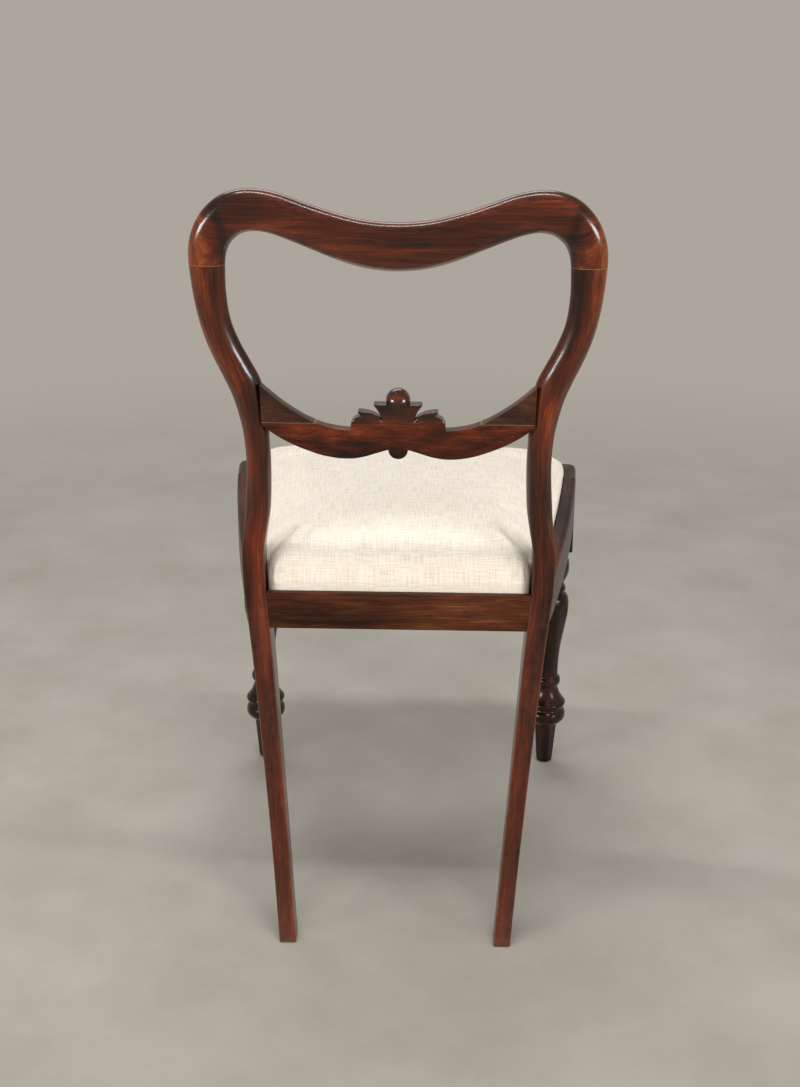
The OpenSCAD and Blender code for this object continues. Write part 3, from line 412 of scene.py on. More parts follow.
def woven(name, thread, ground, slub, roughness, fuzz, depth):
    """Plain woven cloth: threads of the given width in metres cross at right angles, with thicker slubs.

    The threads follow the two axes that lie in the surface, so the weave runs down a cushion's walls.
    """
    made, tree, skin = material(name)
    coords = node(tree, "TexCoord", {})
    x, y, z = node(tree, "SeparateXYZ", {0: coords["Object"]})
    nx, ny, nz = node(tree, "SeparateXYZ", {0: coords["Normal"]})
    # Whether the surface faces the chair's side, or its front or back
    faces = []
    for part in (nx, ny):
        size = node(tree, "Math", {0: part}, operation="ABSOLUTE")[0]
        faces.append(node(tree, "Math", {0: size, 1: 0.72}, operation="GREATER_THAN")[0])
    side, wall = faces
    across = node(tree, "Mix", {0: side, 2: x, 3: y})[0]
    down = node(tree, "Math", {0: side, 1: wall}, operation="MAXIMUM")[0]
    down = node(tree, "Mix", {0: down, 2: y, 3: z})[0]
    flat = node(tree, "CombineXYZ", {0: across, 1: down})[0]
    fine = 1 / thread
    threads = []
    for scale in ((fine, fine * 0.05, 0), (fine * 0.05, fine, 0)):
        run = node(tree, "Mapping", {"Vector": flat, "Scale": scale})[0]
        noise = node(tree, "TexNoise", {"Vector": run, "Scale": 1, "Detail": 2, "Roughness": 0.6})
        threads.append(noise["Fac"])
    weave = node(tree, "Math", {0: threads[0], 1: threads[1]}, operation="ADD")[0]
    slubs = node(tree, "MapRange", {"Value": weave, "From Min": 0.88, "From Max": 1.3, "To Max": 0.8})[0]
    colour = node(tree, "Mix", {0: slubs, 6: linear(ground), 7: linear(slub)}, data_type="RGBA")[2]
    cloud = node(tree, "TexNoise", {"Vector": coords["Object"], "Scale": 14, "Detail": 3})
    shade = node(tree, "MapRange", {"Value": cloud["Fac"], "To Min": 0.94, "To Max": 1.05})[0]
    colour = node(tree, "VectorMath", {0: colour, "Scale": shade}, operation="SCALE")[0]
    bump = node(tree, "Bump", {"Height": weave, "Strength": 0.45, "Distance": depth})[0]
    feed(skin, {"Base Color": colour, "Roughness": roughness, "Specular IOR Level": 0.25,
                "Sheen Weight": fuzz, "Sheen Roughness": 0.5, "Normal": bump})
    return made


# Tones of the wood, from its darkest lines to its orange figure
POLISHED = [(0.24, "#130602"), (0.84, "#8f4519"), (0.37, "#290d04"), (0.51, "#441807"), (0.64, "#5f240a")]
FADED = [(0.24, "#1c0e08"), (0.82, "#74462b"), (0.4, "#301a10"), (0.6, "#4a2a1a")]
RUBBED = [(0.24, "#150804"), (0.82, "#7a4526"), (0.4, "#2f1509"), (0.6, "#4f2812")]
CARVED = [(0.24, "#0e0402"), (0.82, "#743a17"), (0.4, "#220a04"), (0.6, "#3c1607")]
# Seat rails: tones darker than the back's, partly painted shade, since the front of the chair faces away
# from the light
RAILS_SHADED = [(0.24, "#100503"), (0.82, "#6a3519"), (0.42, "#230c06"), (0.6, "#3d180b")]
# Front legs: tones darkened past the back's rosewood, painted shade for the chair's front, which faces away
# from the light
DARK_SHADED = [(0.24, "#080301"), (0.82, "#43200f"), (0.42, "#130703"), (0.6, "#241007")]
# Each wood's tones, joints, roughness under the polish and strength of the polish
crest_wood = rosewood("rosewood_french_polished_crest", POLISHED, [JOINT_Z], 0.32, 0.7)
post_wood = rosewood("rosewood_french_polished_posts", POLISHED, [JOINT_Z], 0.32, 0.6)
cross_wood = rosewood("rosewood_french_polished_cross_rail", POLISHED, [GLUE_Z], 0.36, 0.4)
carved_wood = rosewood("rosewood_carved_burnished", CARVED, [GLUE_Z], 0.3, 0.8)
ear_wood = rosewood("rosewood_sun_faded_ears", FADED, [GLUE_Z], 0.36, 0.4)
rail_wood = rosewood("rosewood_rubbed_rear_rail", RUBBED, [], 0.42, 0.15)
# The seat rails' darker tones are partly painted shade
rail_shaded_wood = rosewood("rosewood_polished_rails_painted_shade", RAILS_SHADED, [], 0.36, 0.2)
# The front legs' darker tones are painted shade
dark_shaded_wood = rosewood("rosewood_dark_polished_painted_shade", DARK_SHADED, [], 0.28, 0.5)
# Scales per metre: 8 mm wide bands that run 70 mm along the grain
beech_across = beech("beech_raw_across", (14, 130, 130))
beech_lengthwise = beech("beech_raw_lengthwise", (130, 14, 130))
screw_steel = steel("steel_screws_oiled", "#6c6e72", "#4e4a47")
tack_steel = steel("steel_tacks_blued", "#3f4550", "#3a3534")
# Each cloth's thread, ground, slubs, roughness, fuzz and depth of weave
linen = woven("linen_plain_woven", 0.0013, "#ece0d0", "#cabba3", 0.88, 0.2, 0.0004)
cambric = woven("cambric_black_dust_cloth", 0.0012, "#232220", "#3a3835", 0.95, 0.1, 0.0003)
jute = woven("jute_webbing", 0.0024, "#a98a58", "#7c6038", 0.95, 0.1, 0.001)
sacking = woven("hessian_open_woven", 0.003, "#9a7d4e", "#6d5430", 0.95, 0.1, 0.001)


# ---- The back

# Level, way in to the waist, way out to the balloon, width and depth as shares, rounding of the moulding
POSTS = np.array([
    [0, 0, 0, 0.71, 0.77, 0], [0.27, 0, 0, 0.72, 0.83, 0], [0.55, 0, 0, 0.78, 0.93, 0],
    [0.83, 0, 0, 0.86, 1.2, 0], [1, 0, 0, 0.9, 1.18, 0], [1.13, -0.02, 0, 0.9, 1.12, 0],
    [1.2, 0.35, 0, 0.96, 1.04, 0.35], [1.27, 0.7, 0, 1.03, 1, 0.85], [1.4, 1, 0, 1, 0.98, 1],
    [1.49, 1, 0.02, 1.03, 0.97, 1], [1.55, 1, 0.076, 1.13, 0.96, 1], [1.61, 1, 0.167, 1.26, 0.95, 1],
    [1.665, 1, 0.313, 1.4, 0.95, 1], [1.72, 1, 0.537, 1.37, 0.94, 1], [1.775, 1, 0.749, 1.29, 0.93, 1],
    [1.84, 1, 0.921, 1.22, 0.92, 1], [1.92, 1, 1, 1.26, 0.91, 1], [2, 1, 1, 1.36, 0.9, 1],
])
# Level, share of the legs' rake, share of the back's rake
RAKE = np.array([
    [0, 1, 0], [0.24, 0.66, 0], [0.49, 0.36, 0], [0.73, 0.12, 0], [0.88, 0.02, 0], [1, 0, 0],
    [1.15, 0, 0.024], [1.31, 0, 0.072], [1.49, 0, 0.182], [1.64, 0, 0.31], [1.85, 0, 0.552],
    [2, 0, 0.75], [2.1, 0, 0.89], [2.21, 0, 1], [2.3, 0, 1.06],
])
# Place along the crest rail, share of the joint's distance from the middle, of the rise, of the widening
CREST = np.array([
    [0, 1, 0, 0], [1, 0.991, 0.27, 0.09], [2, 0.964, 0.53, 0.2], [3, 0.92, 0.745, 0.34],
    [4, 0.859, 0.91, 0.44], [5, 0.788, 0.988, 0.45], [6, 0.712, 0.995, 0.38], [7, 0.626, 0.935, 0.34],
    [8, 0.523, 0.805, 0.33], [9, 0.404, 0.65, 0.46], [10, 0.253, 0.47, 0.74], [11, 0.126, 0.375, 0.93],
    [12, 0, 0.345, 1], [13, -0.126, 0.375, 0.93],
])
# The cross rail's upper and lower edges: share of the way out to the post, share of the climb to it
CROSS_TOP = np.array([
    [0, 0], [0.36, 0], [0.49, 0.05], [0.57, 0.12], [0.64, 0.21], [0.71, 0.33], [0.78, 0.47],
    [0.855, 0.64], [0.92, 0.81], [0.97, 0.95], [1.02, 1.09], [1.08, 1.26],
])
CROSS_LOW = np.array([
    [0.083, 0.31], [0.167, 0.19], [0.24, 0.086], [0.31, 0.02], [0.375, 0], [0.45, 0.017],
    [0.54, 0.086], [0.61, 0.175], [0.685, 0.3], [0.755, 0.43], [0.83, 0.6], [0.9, 0.79],
    [0.965, 1], [1.08, 1.36],
])


def level_z(level):
    """The height of a level: 0 on the floor, 1 at the rear rail, 2 at the joint with the crest rail."""
    return np.where(level <= 1, level * RAIL_Z, RAIL_Z + (level - 1) * (JOINT_Z - RAIL_Z))


def rake(z):
    """How far the back lies behind the rear rail at a height."""
    level = np.where(z <= RAIL_Z, z / RAIL_Z, 1 + (z - RAIL_Z) / (JOINT_Z - RAIL_Z))
    return LEG_RAKE * smooth(RAKE, level, 1) + BACK_RAKE * smooth(RAKE, level, 2)


def post_mid(level):
    """A post's distance from the chair's middle: splayed leg, waist, then balloon."""
    splay = mix(FEET_APART, WAISTS_APART, np.minimum(level, 1)) / 2
    return splay - WAIST_IN * smooth(POSTS, level, 1) + BALLOON_OUT * smooth(POSTS, level, 2)


def crowned(flat, crown):
    """Bulges a section's back and front: they fall off as the square of the distance from its middle."""
    half = np.abs(flat[..., 0]).max(-1, keepdims=True)
    fall = np.broadcast_to(crown, len(flat))[:, None] * (flat[..., 0] / half) ** 2
    deep = np.abs(flat[..., 1]).max(-1, keepdims=True)
    return np.stack([flat[..., 0], flat[..., 1] - fall * flat[..., 1] / deep], -1)


def post(side, offset):
    """A rounded rectangle carried up the post: square at the leg, moulded above the seat."""
    level = np.concatenate([[0, 0.004], np.linspace(0.012, 1, 60)[:-1], np.linspace(1, 2, 170)])
    z = level_z(level)
    depth = POST_D * smooth(POSTS, level, 4)
    moulded = np.clip(smooth(POSTS, level, 5), 0, 1)
    flat = rounded_rings(POST_W * smooth(POSTS, level, 3), depth, mix(1.8, 13, moulded))
    # The foot's sole is chamfered, and the post is roundest in the bend where waist turns to balloon
    flat[0] *= 0.86
    flat = crowned(flat, 2.6 * moulded + 4.4 * step(1.35, 1.55, level) * step(1.98, 1.75, level))
    x = post_mid(level)[:, None] + flat[..., 0]
    f = (depth / 2 - rake(z))[:, None] - flat[..., 1]
    shell = tube(placed(side * x, f, z[:, None]))
    points = shell[0]
    # The grain runs up the post and follows three quarters of its curve
    at = np.interp(points[:, 2], z, post_mid(level))
    grain = np.stack([
        points[:, 2], side * points[:, 0] - 0.75 * at + offset, points[:, 1] - 0.8 * rake(points[:, 2])
    ], 1)
    # Each quarter of a ring is an arc of 7 steps, worn most in its middle, and a side of 4 points
    quarter = np.sin(np.pi * np.minimum(np.arange(12) / 7, 1))
    arris = (1 - moulded)[:, None] * np.tile(quarter, 4) * step(1.25, 0.9, level)[:, None]
    wear = np.append(arris.ravel() * 0.5, [1, 0])
    wear = wear + 0.25 * step(430, 380, points[:, 2]) + 0.6 * np.exp(-points[:, 2] / 40)
    # Towards the crest the outer flank runs to orange: a painted highlight, the warm glow round the
    # highlights on that flank
    flank = side * points[:, 0] - at
    figure_and_glow = 1.1 * step(-8, 10, flank) * step(640, 770, points[:, 2]) + 0.2 * step(420, 380, points[:, 2])
    return shell, grain, np.clip(wear, 0, 1), figure_and_glow


def crest_mid(t):
    """The crest rail's middle line: how far it lies from the chair's middle, and how high."""
    rise = CHAIR_H - JOINT_Z - mix(JOINT_W, CREST_W, 0.42) / 2
    return np.stack([JOINT_X * smooth(CREST, t, 1), JOINT_Z + rise * smooth(CREST, t, 2)], -1)


def crest_rail():
    """A rounded rectangle carried along the crest's middle line, square to it, leaning with the back."""
    t = np.linspace(0, 12, 145)
    mid = crest_mid(t)
    # It leaves the joint upright and crosses the middle level
    along = unit(crest_mid(t + 0.05) - crest_mid(np.maximum(t - 0.05, 0)))
    along = unit(mix(np.array([0, 1.0]), along, step(0, 0.6, t)[:, None]))
    along[-1] = (-1, 0)
    share = smooth(CREST, t, 3)
    depth = mix(27, 28, share)
    flat = crowned(rounded_rings(mix(JOINT_W, CREST_W, share), depth, 12.5, 8, 8), mix(2.8, 1.6, share))
    x = mid[:, :1] + flat[..., 0] * along[:, 1:]
    z = mid[:, 1:] - flat[..., 0] * along[:, :1]
    half = placed(x, depth[:, None] / 2 - rake(z) - flat[..., 1], z)
    shell = tube(np.concatenate([half, on_side(-1, half[-2::-1])]))
    points = shell[0]
    # A plank with straight grain, which curls round the knot
    out, up = np.abs(points[:, 0]) - KNOT_X, points[:, 2] - KNOT_Z
    away = np.hypot(out, 0.6 * up + 0.15 * out)
    curl = step(46, 14, away)
    grain = np.stack([
        points[:, 0] * mix(1, 0.5, curl), mix(points[:, 2] + 300, 0.75 * away + 300 + JOINT_Z, curl),
        points[:, 1] - rake(points[:, 2])
    ], 1)
    figure_and_glow = 0.85 * step(46, 26, away) - 0.55 * step(54, 48, away) * step(40, 46, away)
    return shell, grain, 0, figure_and_glow


def cross_f(z):
    """The cross rail's back face is flat and leans with the posts."""
    low, high = 2 - rake(np.array([CROSS_LOW_Z, CROSS_END_Z]))
    return mix(low, high, (z - CROSS_LOW_Z) / (CROSS_END_Z - CROSS_LOW_Z))


def cross_top(x):
    """Height of the cross rail's upper edge."""
    return mix(CROSS_TOP_Z, CROSS_END_Z, smooth(CROSS_TOP, x / CROSS_END_X, 1))


def cross_section(x, low, high, low_r, high_r):
    """Upright sections of the cross rail across x, from low to high, 18 mm thick, with softened corners."""
    low, high, low_r, high_r = np.broadcast_arrays(low, high, low_r, high_r)
    ends = np.stack([high, high, low, low], -1)
    q = np.broadcast_to([0, CROSS_T, CROSS_T, 0], ends.shape)
    radius = np.stack([high_r, high_r, low_r, low_r], -1)
    flat = eased(np.stack([ends, q], -1), np.minimum(radius, 0.45 * (high - low)[:, None]), 5)
    z = flat[..., 0]
    return placed(x[:, None], cross_f(z) + flat[..., 1], z)


def cross_board():
    """The board under the glue line: its lower edge has the round drop, its upper edge stops at the line."""
    drop = DROP_R * np.sin(np.linspace(0, math.pi / 2, 14))
    beside = np.linspace(54.5, CROSS_END_X, 56)
    x = np.concatenate([drop, np.linspace(12.5, 51.7, 16), [51.9, 52.6, 53.4], beside])
    low = mix(CROSS_LOW_Z, CROSS_END_LOW_Z, smooth(CROSS_LOW, x / CROSS_END_X, 1))
    drop_z = mix(CROSS_LOW_Z, CROSS_END_LOW_Z, 0.31)
    low = np.where(x <= DROP_R, drop_z - np.sqrt(np.maximum(DROP_R ** 2 - x ** 2, 0)), low)
    top = np.minimum(cross_top(x), GLUE_Z)
    # The carving is glued on as far out as 52 mm
    top = np.where(x < 52, GLUE_Z, top)
    half = cross_section(x, low, top, 2.2, np.where(top > GLUE_Z - 0.6, 0.25, 2.2))
    return [tube(np.concatenate([on_side(-1, half[:0:-1]), half]))]


def cross_ear(side):
    """The piece between the glue line and the upper edge, which rises from it out to the post."""
    x = np.linspace(EAR_X, CROSS_END_X, 40)
    half = cross_section(x, GLUE_Z, np.maximum(cross_top(x), GLUE_Z + 0.3), 0.2, 2.2)
    return [tube(on_side(side, half))]


# The carving: share of its height, then shares of its half width, for a lobe's two edges and the leaf's one
LOBE = np.array([
    [0.25, 0.3, 0.98], [0.34, 0.32, 0.965], [0.42, 0.35, 0.93], [0.5, 0.39, 0.865], [0.55, 0.43, 0.81],
    [0.6, 0.48, 0.795], [0.65, 0.53, 0.815], [0.7, 0.61, 0.835], [0.74, 0.73, 0.83],
])
LEAF = np.array([
    [0.25, 0.36], [0.4, 0.345], [0.5, 0.35], [0.62, 0.375], [0.75, 0.41], [0.86, 0.45], [0.94, 0.485],
    [1, 0.505], [1.03, 0.5],
])


def carved_form(z, left, right, front):
    """Level sections between two edges, 18 mm thick less the front's hollow, with rounded corners."""
    x = np.stack([left, right, right, left], -1)
    hollow = np.broadcast_to(front, left.shape)
    q = np.stack([0 * hollow, 0 * hollow, CROSS_T - hollow, CROSS_T - hollow], -1)
    radius = np.minimum(2.4, 0.42 * (right - left))[:, None]
    flat = eased(np.stack([x, q], -1), radius, 6)
    return placed(flat[..., 0], cross_f(z)[:, None] + flat[..., 1], z[:, None])


def carved_crest():
    """The leaf, two lobes with hooked tips, and the polished ball: three stacked forms and a globe."""
    share = np.linspace(0.272, 0.74, 34)
    z = CROSS_TOP_Z + CARVING_H * share
    lobe = carved_form(z, CARVING_W * smooth(LOBE, share, 1), CARVING_W * smooth(LOBE, share, 2),
                       2.5 * step(0.5, 0.8, share))
    share = np.linspace(0.272, 1.03, 40)
    z = CROSS_TOP_Z + CARVING_H * share
    wide = CARVING_W * smooth(LEAF, share, 1)
    leaf = carved_form(z, -wide, wide, 1.5 * step(0.4, 1, share))
    # The leaf's tips stand a little higher than its middle
    leaf[-6:, :, 2] -= 1.6 * (1 - (leaf[-6:, :, 0] / wide[-6:, None]) ** 2)
    turn = np.linspace(0, 2 * math.pi, 49)[:-1]
    tilt = np.linspace(0.02, math.pi - 0.02, 33)[:, None]
    ball_z = CROSS_TOP_Z + CARVING_H + BALL_R / 3
    belt = BALL_R * np.sin(tilt)
    ball_f = cross_f(ball_z) + CROSS_T / 2 - belt * np.sin(turn)
    ball = placed(belt * np.cos(turn), ball_f, ball_z + BALL_R * np.cos(tilt))
    return [tube(lobe), tube(on_side(-1, lobe)), tube(leaf), tube(ball)]


def plank(shells, along, across, offset):
    """Straight grain: the point's coordinates in the order along, across and through the plank."""
    points = np.concatenate([s[0] for s in shells])
    through_it = 3 - along - across
    return np.stack([points[:, along], points[:, across] + offset, points[:, through_it]], 1)


for side, name, offset in ((-1, "left_back_post", 0), (1, "right_back_post", 90)):
    shell, *looks = post(side, offset)
    make(name + "_moulded", "rosewood", [shell], post_wood, "chair", [name], *looks)
shell, *looks = crest_rail()
make("crest_rail_moulded", "rosewood", [shell], crest_wood, "chair", ["crest_rail"], *looks)
for name, shells, offset, wood in (
    ("cross_rail_board", cross_board(), 500, cross_wood),
    ("cross_rail_left_ear", cross_ear(-1), 560, ear_wood),
    ("cross_rail_right_ear", cross_ear(1), 620, ear_wood),
    ("cross_rail_carved_crest", carved_crest(), 680, carved_wood),
):
    # The cross rail's figure is short and mottled
    grain = plank(shells, 0, 2, offset) * np.array([2.4, 1, 1])
    make(name + "_shaped", "rosewood", shells, wood, "chair", [name], grain)


# ---- Seat rails and front legs

def rail_top(f):
    """Height of the rails' top plane, which climbs towards the front."""
    return RAIL_Z + f * SLOPE


def side_share(f):
    """How far along the side rail a place lies: 0 at the post, 1 at the block."""
    return (f - SIDE_END_F) / (BLOCK_REAR_F - SIDE_END_F)


def side_line(f):
    """The straight line in plan from the post's outer face to the block's."""
    return mix(POST_OUTER_X, BLOCK_OUTER_X, side_share(f))


def side_out(f):
    """The side rail's outer face in plan: a line from post to block, bowed out by 4 mm."""
    bow = 16 * side_share(f) * (1 - side_share(f))
    return np.where(f >= BLOCK_REAR_F, BLOCK_OUTER_X, side_line(f) + bow)


def front_face(x):
    """The front rail's face in plan, bowed forwards by 6 mm."""
    return BLOCK_FRONT_F + 6 * (1 - (x / BLOCK_INNER_X) ** 2)


def rear_rail():
    """An L section, lip behind and rebate in front, carried straight across; its arrises are worn soft."""
    x = np.linspace(-REAR_RAIL_X, REAR_RAIL_X, 60)
    section = np.array([
        [1, 0], [WELL_REAR_F, 0], [WELL_REAR_F, -REBATE_H], [REAR_RAIL_T, -REBATE_H],
        [REAR_RAIL_T, -REAR_RAIL_H], [1, -REAR_RAIL_H],
    ])
    f, h = eased(section[None], np.array([1.1, 0.8, 0.4, 1, 1, 1.1]))[0].T
    return tube(placed(x[:, None], f, rail_top(f) + h))


def side_rail(side):
    """An L section between the post and the block, its outer face bowed and its top rising to the front."""
    f = np.linspace(SIDE_END_F, BLOCK_REAR_F, 60)
    lip_in = side_out(f) - SIDE_LIP
    out = side_out(f) - SPLAY / 3 * side_share(f) ** 2
    inner = side_line(f) - SIDE_RAIL_T
    top = rail_top(f)
    bottom = mix(rail_top(SIDE_END_F) - SIDE_RAIL_H, rail_top(BLOCK_REAR_F) - FRONT_RAIL_H, side_share(f))
    x = np.stack([out, out, inner, inner, lip_in, lip_in], -1)
    z = np.stack([top, bottom, bottom, top - REBATE_H, top - REBATE_H, top], -1)
    flat = eased(np.stack([x, z], -1), np.array([ARRIS_R, 1.6, 1, 1, 0.4, 1.2]), 6)
    return tube(placed(side * flat[..., 0], f[:, None], flat[..., 1]))


def front_rail():
    """An L section between the blocks, its face bowed forwards."""
    x = np.linspace(-BLOCK_INNER_X, BLOCK_INNER_X, 60)
    face = front_face(x)
    rear = 0 * x + BLOCK_FRONT_F - FRONT_RAIL_T
    f = np.stack([face, face - SIDE_LIP, face - SIDE_LIP, rear, rear, face], -1)
    h = np.broadcast_to([0, 0, -REBATE_H, -REBATE_H, -FRONT_RAIL_H, -FRONT_RAIL_H], f.shape)
    flat = eased(np.stack([f, h], -1), np.array([ARRIS_R, 1.2, 0.4, 1, 1, 1.6]), 6)
    return tube(placed(x[:, None], flat[..., 0], rail_top(flat[..., 0]) + flat[..., 1]))


# The turned leg from block to floor: radius as a share of the largest ring's, height as a share of the leg's
TURNING = np.array([
    [0.58, 1.01], [0.58, 0.985], [0.62, 0.968], [0.76, 0.957], [0.85, 0.94], [0.885, 0.913],
    [0.85, 0.885], [0.74, 0.86], [0.66, 0.848], [0.65, 0.834], [0.7, 0.828], [0.75, 0.815],
    [0.7, 0.803], [0.64, 0.799], [0.66, 0.796], [0.75, 0.791], [0.86, 0.78], [0.93, 0.757],
    [0.95, 0.737], [0.93, 0.705], [0.87, 0.675], [0.79, 0.637], [0.69, 0.59], [0.6, 0.54],
    [0.555, 0.49], [0.54, 0.44], [0.545, 0.412], [0.6, 0.406], [0.66, 0.399], [0.68, 0.387],
    [0.66, 0.377], [0.59, 0.371], [0.555, 0.362], [0.59, 0.347], [0.71, 0.322], [0.89, 0.299],
    [0.97, 0.291], [0.99, 0.284], [0.95, 0.277], [0.83, 0.271], [0.81, 0.264], [0.84, 0.257],
    [0.94, 0.248], [0.99, 0.237], [1, 0.228], [0.98, 0.217], [0.91, 0.206], [0.79, 0.196],
    [0.66, 0.189], [0.56, 0.181], [0.48, 0.168], [0.42, 0.15], [0.36, 0.1], [0.34, 0.008],
])
# Height as a share of the leg's, and the eight facets' corner radius
BALUSTER_FACETS = np.array([
    [0.39, 0.57], [0.48, 0.575], [0.545, 0.64], [0.635, 0.82], [0.695, 0.95], [0.745, 0.985], [0.81, 1.02],
])


def turned_leg():
    """A turned profile spun round, planed to eight facets on the baluster, and widened to eight on the foot.

    A facet's radius is its corner's, times cos 22.5 degrees, over the cosine of the angle from its middle.
    """
    profile = through(TURNING, 300)
    r, share = profile[:, :1], profile[:, 1:]
    turn = np.linspace(0, 2 * math.pi, 97)[:-1]
    facet = math.cos(math.pi / 8) / np.cos((turn + math.pi / 8) % (math.pi / 4) - math.pi / 8)
    planed = np.interp(share, BALUSTER_FACETS[:, 0], BALUSTER_FACETS[:, 1]) * facet
    foot = mix(0.42, 0.6, share / 0.19) * facet
    radius = np.where((share > 0.41) & (share < 0.799), np.minimum(r, planed), r)
    radius = RING_R * np.where(share < 0.215, np.maximum(radius, foot), radius)
    rings = placed(LEG_X + radius * np.cos(turn), LEG_F - radius * np.sin(turn), TURNED_H * share)
    base = rings[-1].copy()
    base[:, 2] = 0
    base[:, :2] = mix(rings[-1].mean(0)[:2], base[:, :2], 0.93)
    return tube(np.concatenate([rings, base[None]]))


def leg_block():
    """The square block with its rounded outer corner: up the sides, over the lip, and down to the ledge."""
    plan = np.array([
        [BLOCK_INNER_X, BLOCK_REAR_F], [BLOCK_OUTER_X, BLOCK_REAR_F], [BLOCK_OUTER_X, BLOCK_FRONT_F],
        [BLOCK_INNER_X, BLOCK_FRONT_F]
    ])
    outer = eased(plan[None], np.array([0.8, 0.8, 15, 0.8]), 24)[0]
    outer = spaced(np.vstack([outer, outer[:1]]), 240)
    centre = np.array([LEG_X - 6, LEG_F - 6])
    # The outer side follows the side rail's splay: 1.5 mm in at the back, 3 mm out in front
    splay = mix(-SPLAY / 3, 2 * SPLAY / 3, (outer[:, 1] - BLOCK_REAR_F) / (BLOCK_FRONT_F - BLOCK_REAR_F))
    outer[:, 0] += splay * step(LEG_X, BLOCK_OUTER_X - 4, outer[:, 0])
    # The rebate's corner in plan: points of the lip move in to it, the others stay
    inner_x = BLOCK_OUTER_X - SIDE_LIP
    inner_f = BLOCK_FRONT_F - SIDE_LIP
    lip = (outer[:, 0] > inner_x) | (outer[:, 1] > inner_f)
    inner = np.minimum(outer, np.array([inner_x, inner_f]))
    round_to = np.array([inner_x - REBATE_R, inner_f - REBATE_R])
    past = np.maximum(inner - round_to, 0)
    reach = np.maximum(np.linalg.norm(past, axis=1, keepdims=True) / REBATE_R, 1)
    inner = np.where(past.min(1, keepdims=True) > 0, round_to + past / reach, inner)

    # Only the outer side and the front are rounded over at the top, since the rails meet the other two sides
    ahead = np.roll(outer, -1, 0) - np.roll(outer, 1, 0)
    outward = unit(np.stack([-ahead[:, 1], ahead[:, 0]], 1))
    outward = np.maximum(outward * np.sign(np.sum(outward[60] * (outer[60] - centre))), 0)

    def ring(plan_points, height, inset=0.0):
        x, f = (plan_points - inset * outward).T
        return placed(x, f, rail_top(f) + np.where(lip, height, min(height, 0) - REBATE_H))

    def level(inset, z):
        return placed(*mix(outer, centre, inset).T, z)

    rows = [level(0.05, TURNED_H), level(0.012, TURNED_H + 0.5), level(0, TURNED_H + 1.8)]
    rows += [ring(outer, h) for h in (-40, -20, -10)]
    for share in np.linspace(0, 1, 7):
        rows.append(ring(outer, -ARRIS_R * (1 - share) ** 2, ARRIS_R * share ** 2))
    rows += [ring(inner, 0), placed(*inner.T, rail_top(inner[:, 1]) - REBATE_H)]
    return tube(np.stack(rows))


shells = [rear_rail()]
make("rear_seat_rail_rubbed", "rosewood", shells, rail_wood, "chair", ["rear_seat_rail"],
     plank(shells, 0, 2, 60))
shells = [front_rail()]
make("front_seat_rail_bowed", "dark_rosewood", shells, rail_shaded_wood, "chair", ["front_seat_rail"],
     plank(shells, 0, 2, 120))
for side, word in ((-1, "left"), (1, "right")):
    shells = [side_rail(side)]
    make(word + "_side_rail_bowed", "dark_rosewood", shells, rail_shaded_wood, "chair", [word + "_side_rail"],
         plank(shells, 1, 2, 200 + 40 * side))
    shells = [(on_side(side, points), faces) for points, faces in (turned_leg(), leg_block())]
    grain = plank(shells, 2, 0, 300 + 40 * side)
    # The block's colour runs further to orange than the turning's
    figure_and_glow = 0.5 * step(TURNED_H - 5, TURNED_H + 20, grain[:, 0])
    make(word + "_front_leg_turned", "dark_rosewood", shells, dark_shaded_wood, "chair", [word + "_front_leg"],
         grain, 0, figure_and_glow, 32)


# ---- The drop-in seat

PAD_MID_F = mix(WELL_REAR_F, BLOCK_FRONT_F, 0.5)
# Place along the pad's section, share of the way out from its middle, share of its edge's height
PAD = np.array([
    [0, 1, 0], [1, 1, 0.3], [2, 1, 0.55], [3, 0.985, 0.74], [4, 0.955, 0.87], [5, 0.9, 0.96], [6, 0.8, 1.02],
    [7, 0.64, 1.07], [8, 0.45, 1.105], [9, 0.24, 1.125], [10, 0.02, 1.13],
])


def arc(x, f, r, start, end, count=14):
    """Points in plan on a circle of radius r about x and f, between two angles in degrees."""
    turn = np.radians(np.linspace(start, end, count))
    return np.stack([x + r * np.cos(turn), f + r * np.sin(turn)], 1)


def seat_outline(gap, count=300):
    """The rebate's outline drawn in by a gap: rear edge, notch round the post, side and front."""
    front_gap = gap + FRONT_GAP
    front_x = BLOCK_OUTER_X - SIDE_LIP
    first_f = POST_FRONT_F + 5
    last_f = BLOCK_FRONT_F - SIDE_LIP - REBATE_R
    f = np.linspace(first_f, last_f, 40)[1:-1]
    x = np.linspace(front_x - REBATE_R, 0, 30)
    rear_r = max(12 - gap, 0.4)
    side_r = max(5 - gap, 0.4)
    half = np.concatenate([
        [[0, WELL_REAR_F + gap]],
        arc(POST_INNER_X - gap - rear_r, WELL_REAR_F + gap + rear_r, rear_r, -90, 0),
        arc(POST_INNER_X + 3, POST_FRONT_F - 3, 3 + gap, 180, 90),
        arc(side_out(first_f) - SIDE_LIP - gap - side_r, POST_FRONT_F + gap + side_r, side_r, -90, 0),
        np.stack([side_out(f) - SIDE_LIP - gap, f], 1),
        arc(front_x - REBATE_R, last_f, REBATE_R - gap, 0, 60),
        np.stack([x, front_face(x) - SIDE_LIP - front_gap], 1),
    ])
    return spaced(np.concatenate([half, half[-2::-1] * np.array([-1, 1])]), count)


def soft_x(p):
    """Where a point of the outline would lie without the notch round the post."""
    side = side_line(np.maximum(p[:, 1], SIDE_END_F)) - SIDE_LIP - FRAME_GAP
    near = (np.abs(p[:, 0]) > POST_INNER_X / 2) & (p[:, 1] < PAD_MID_F)
    return np.where(near, np.sign(p[:, 0]) * mix(np.abs(p[:, 0]), side, 0.5), p[:, 0])


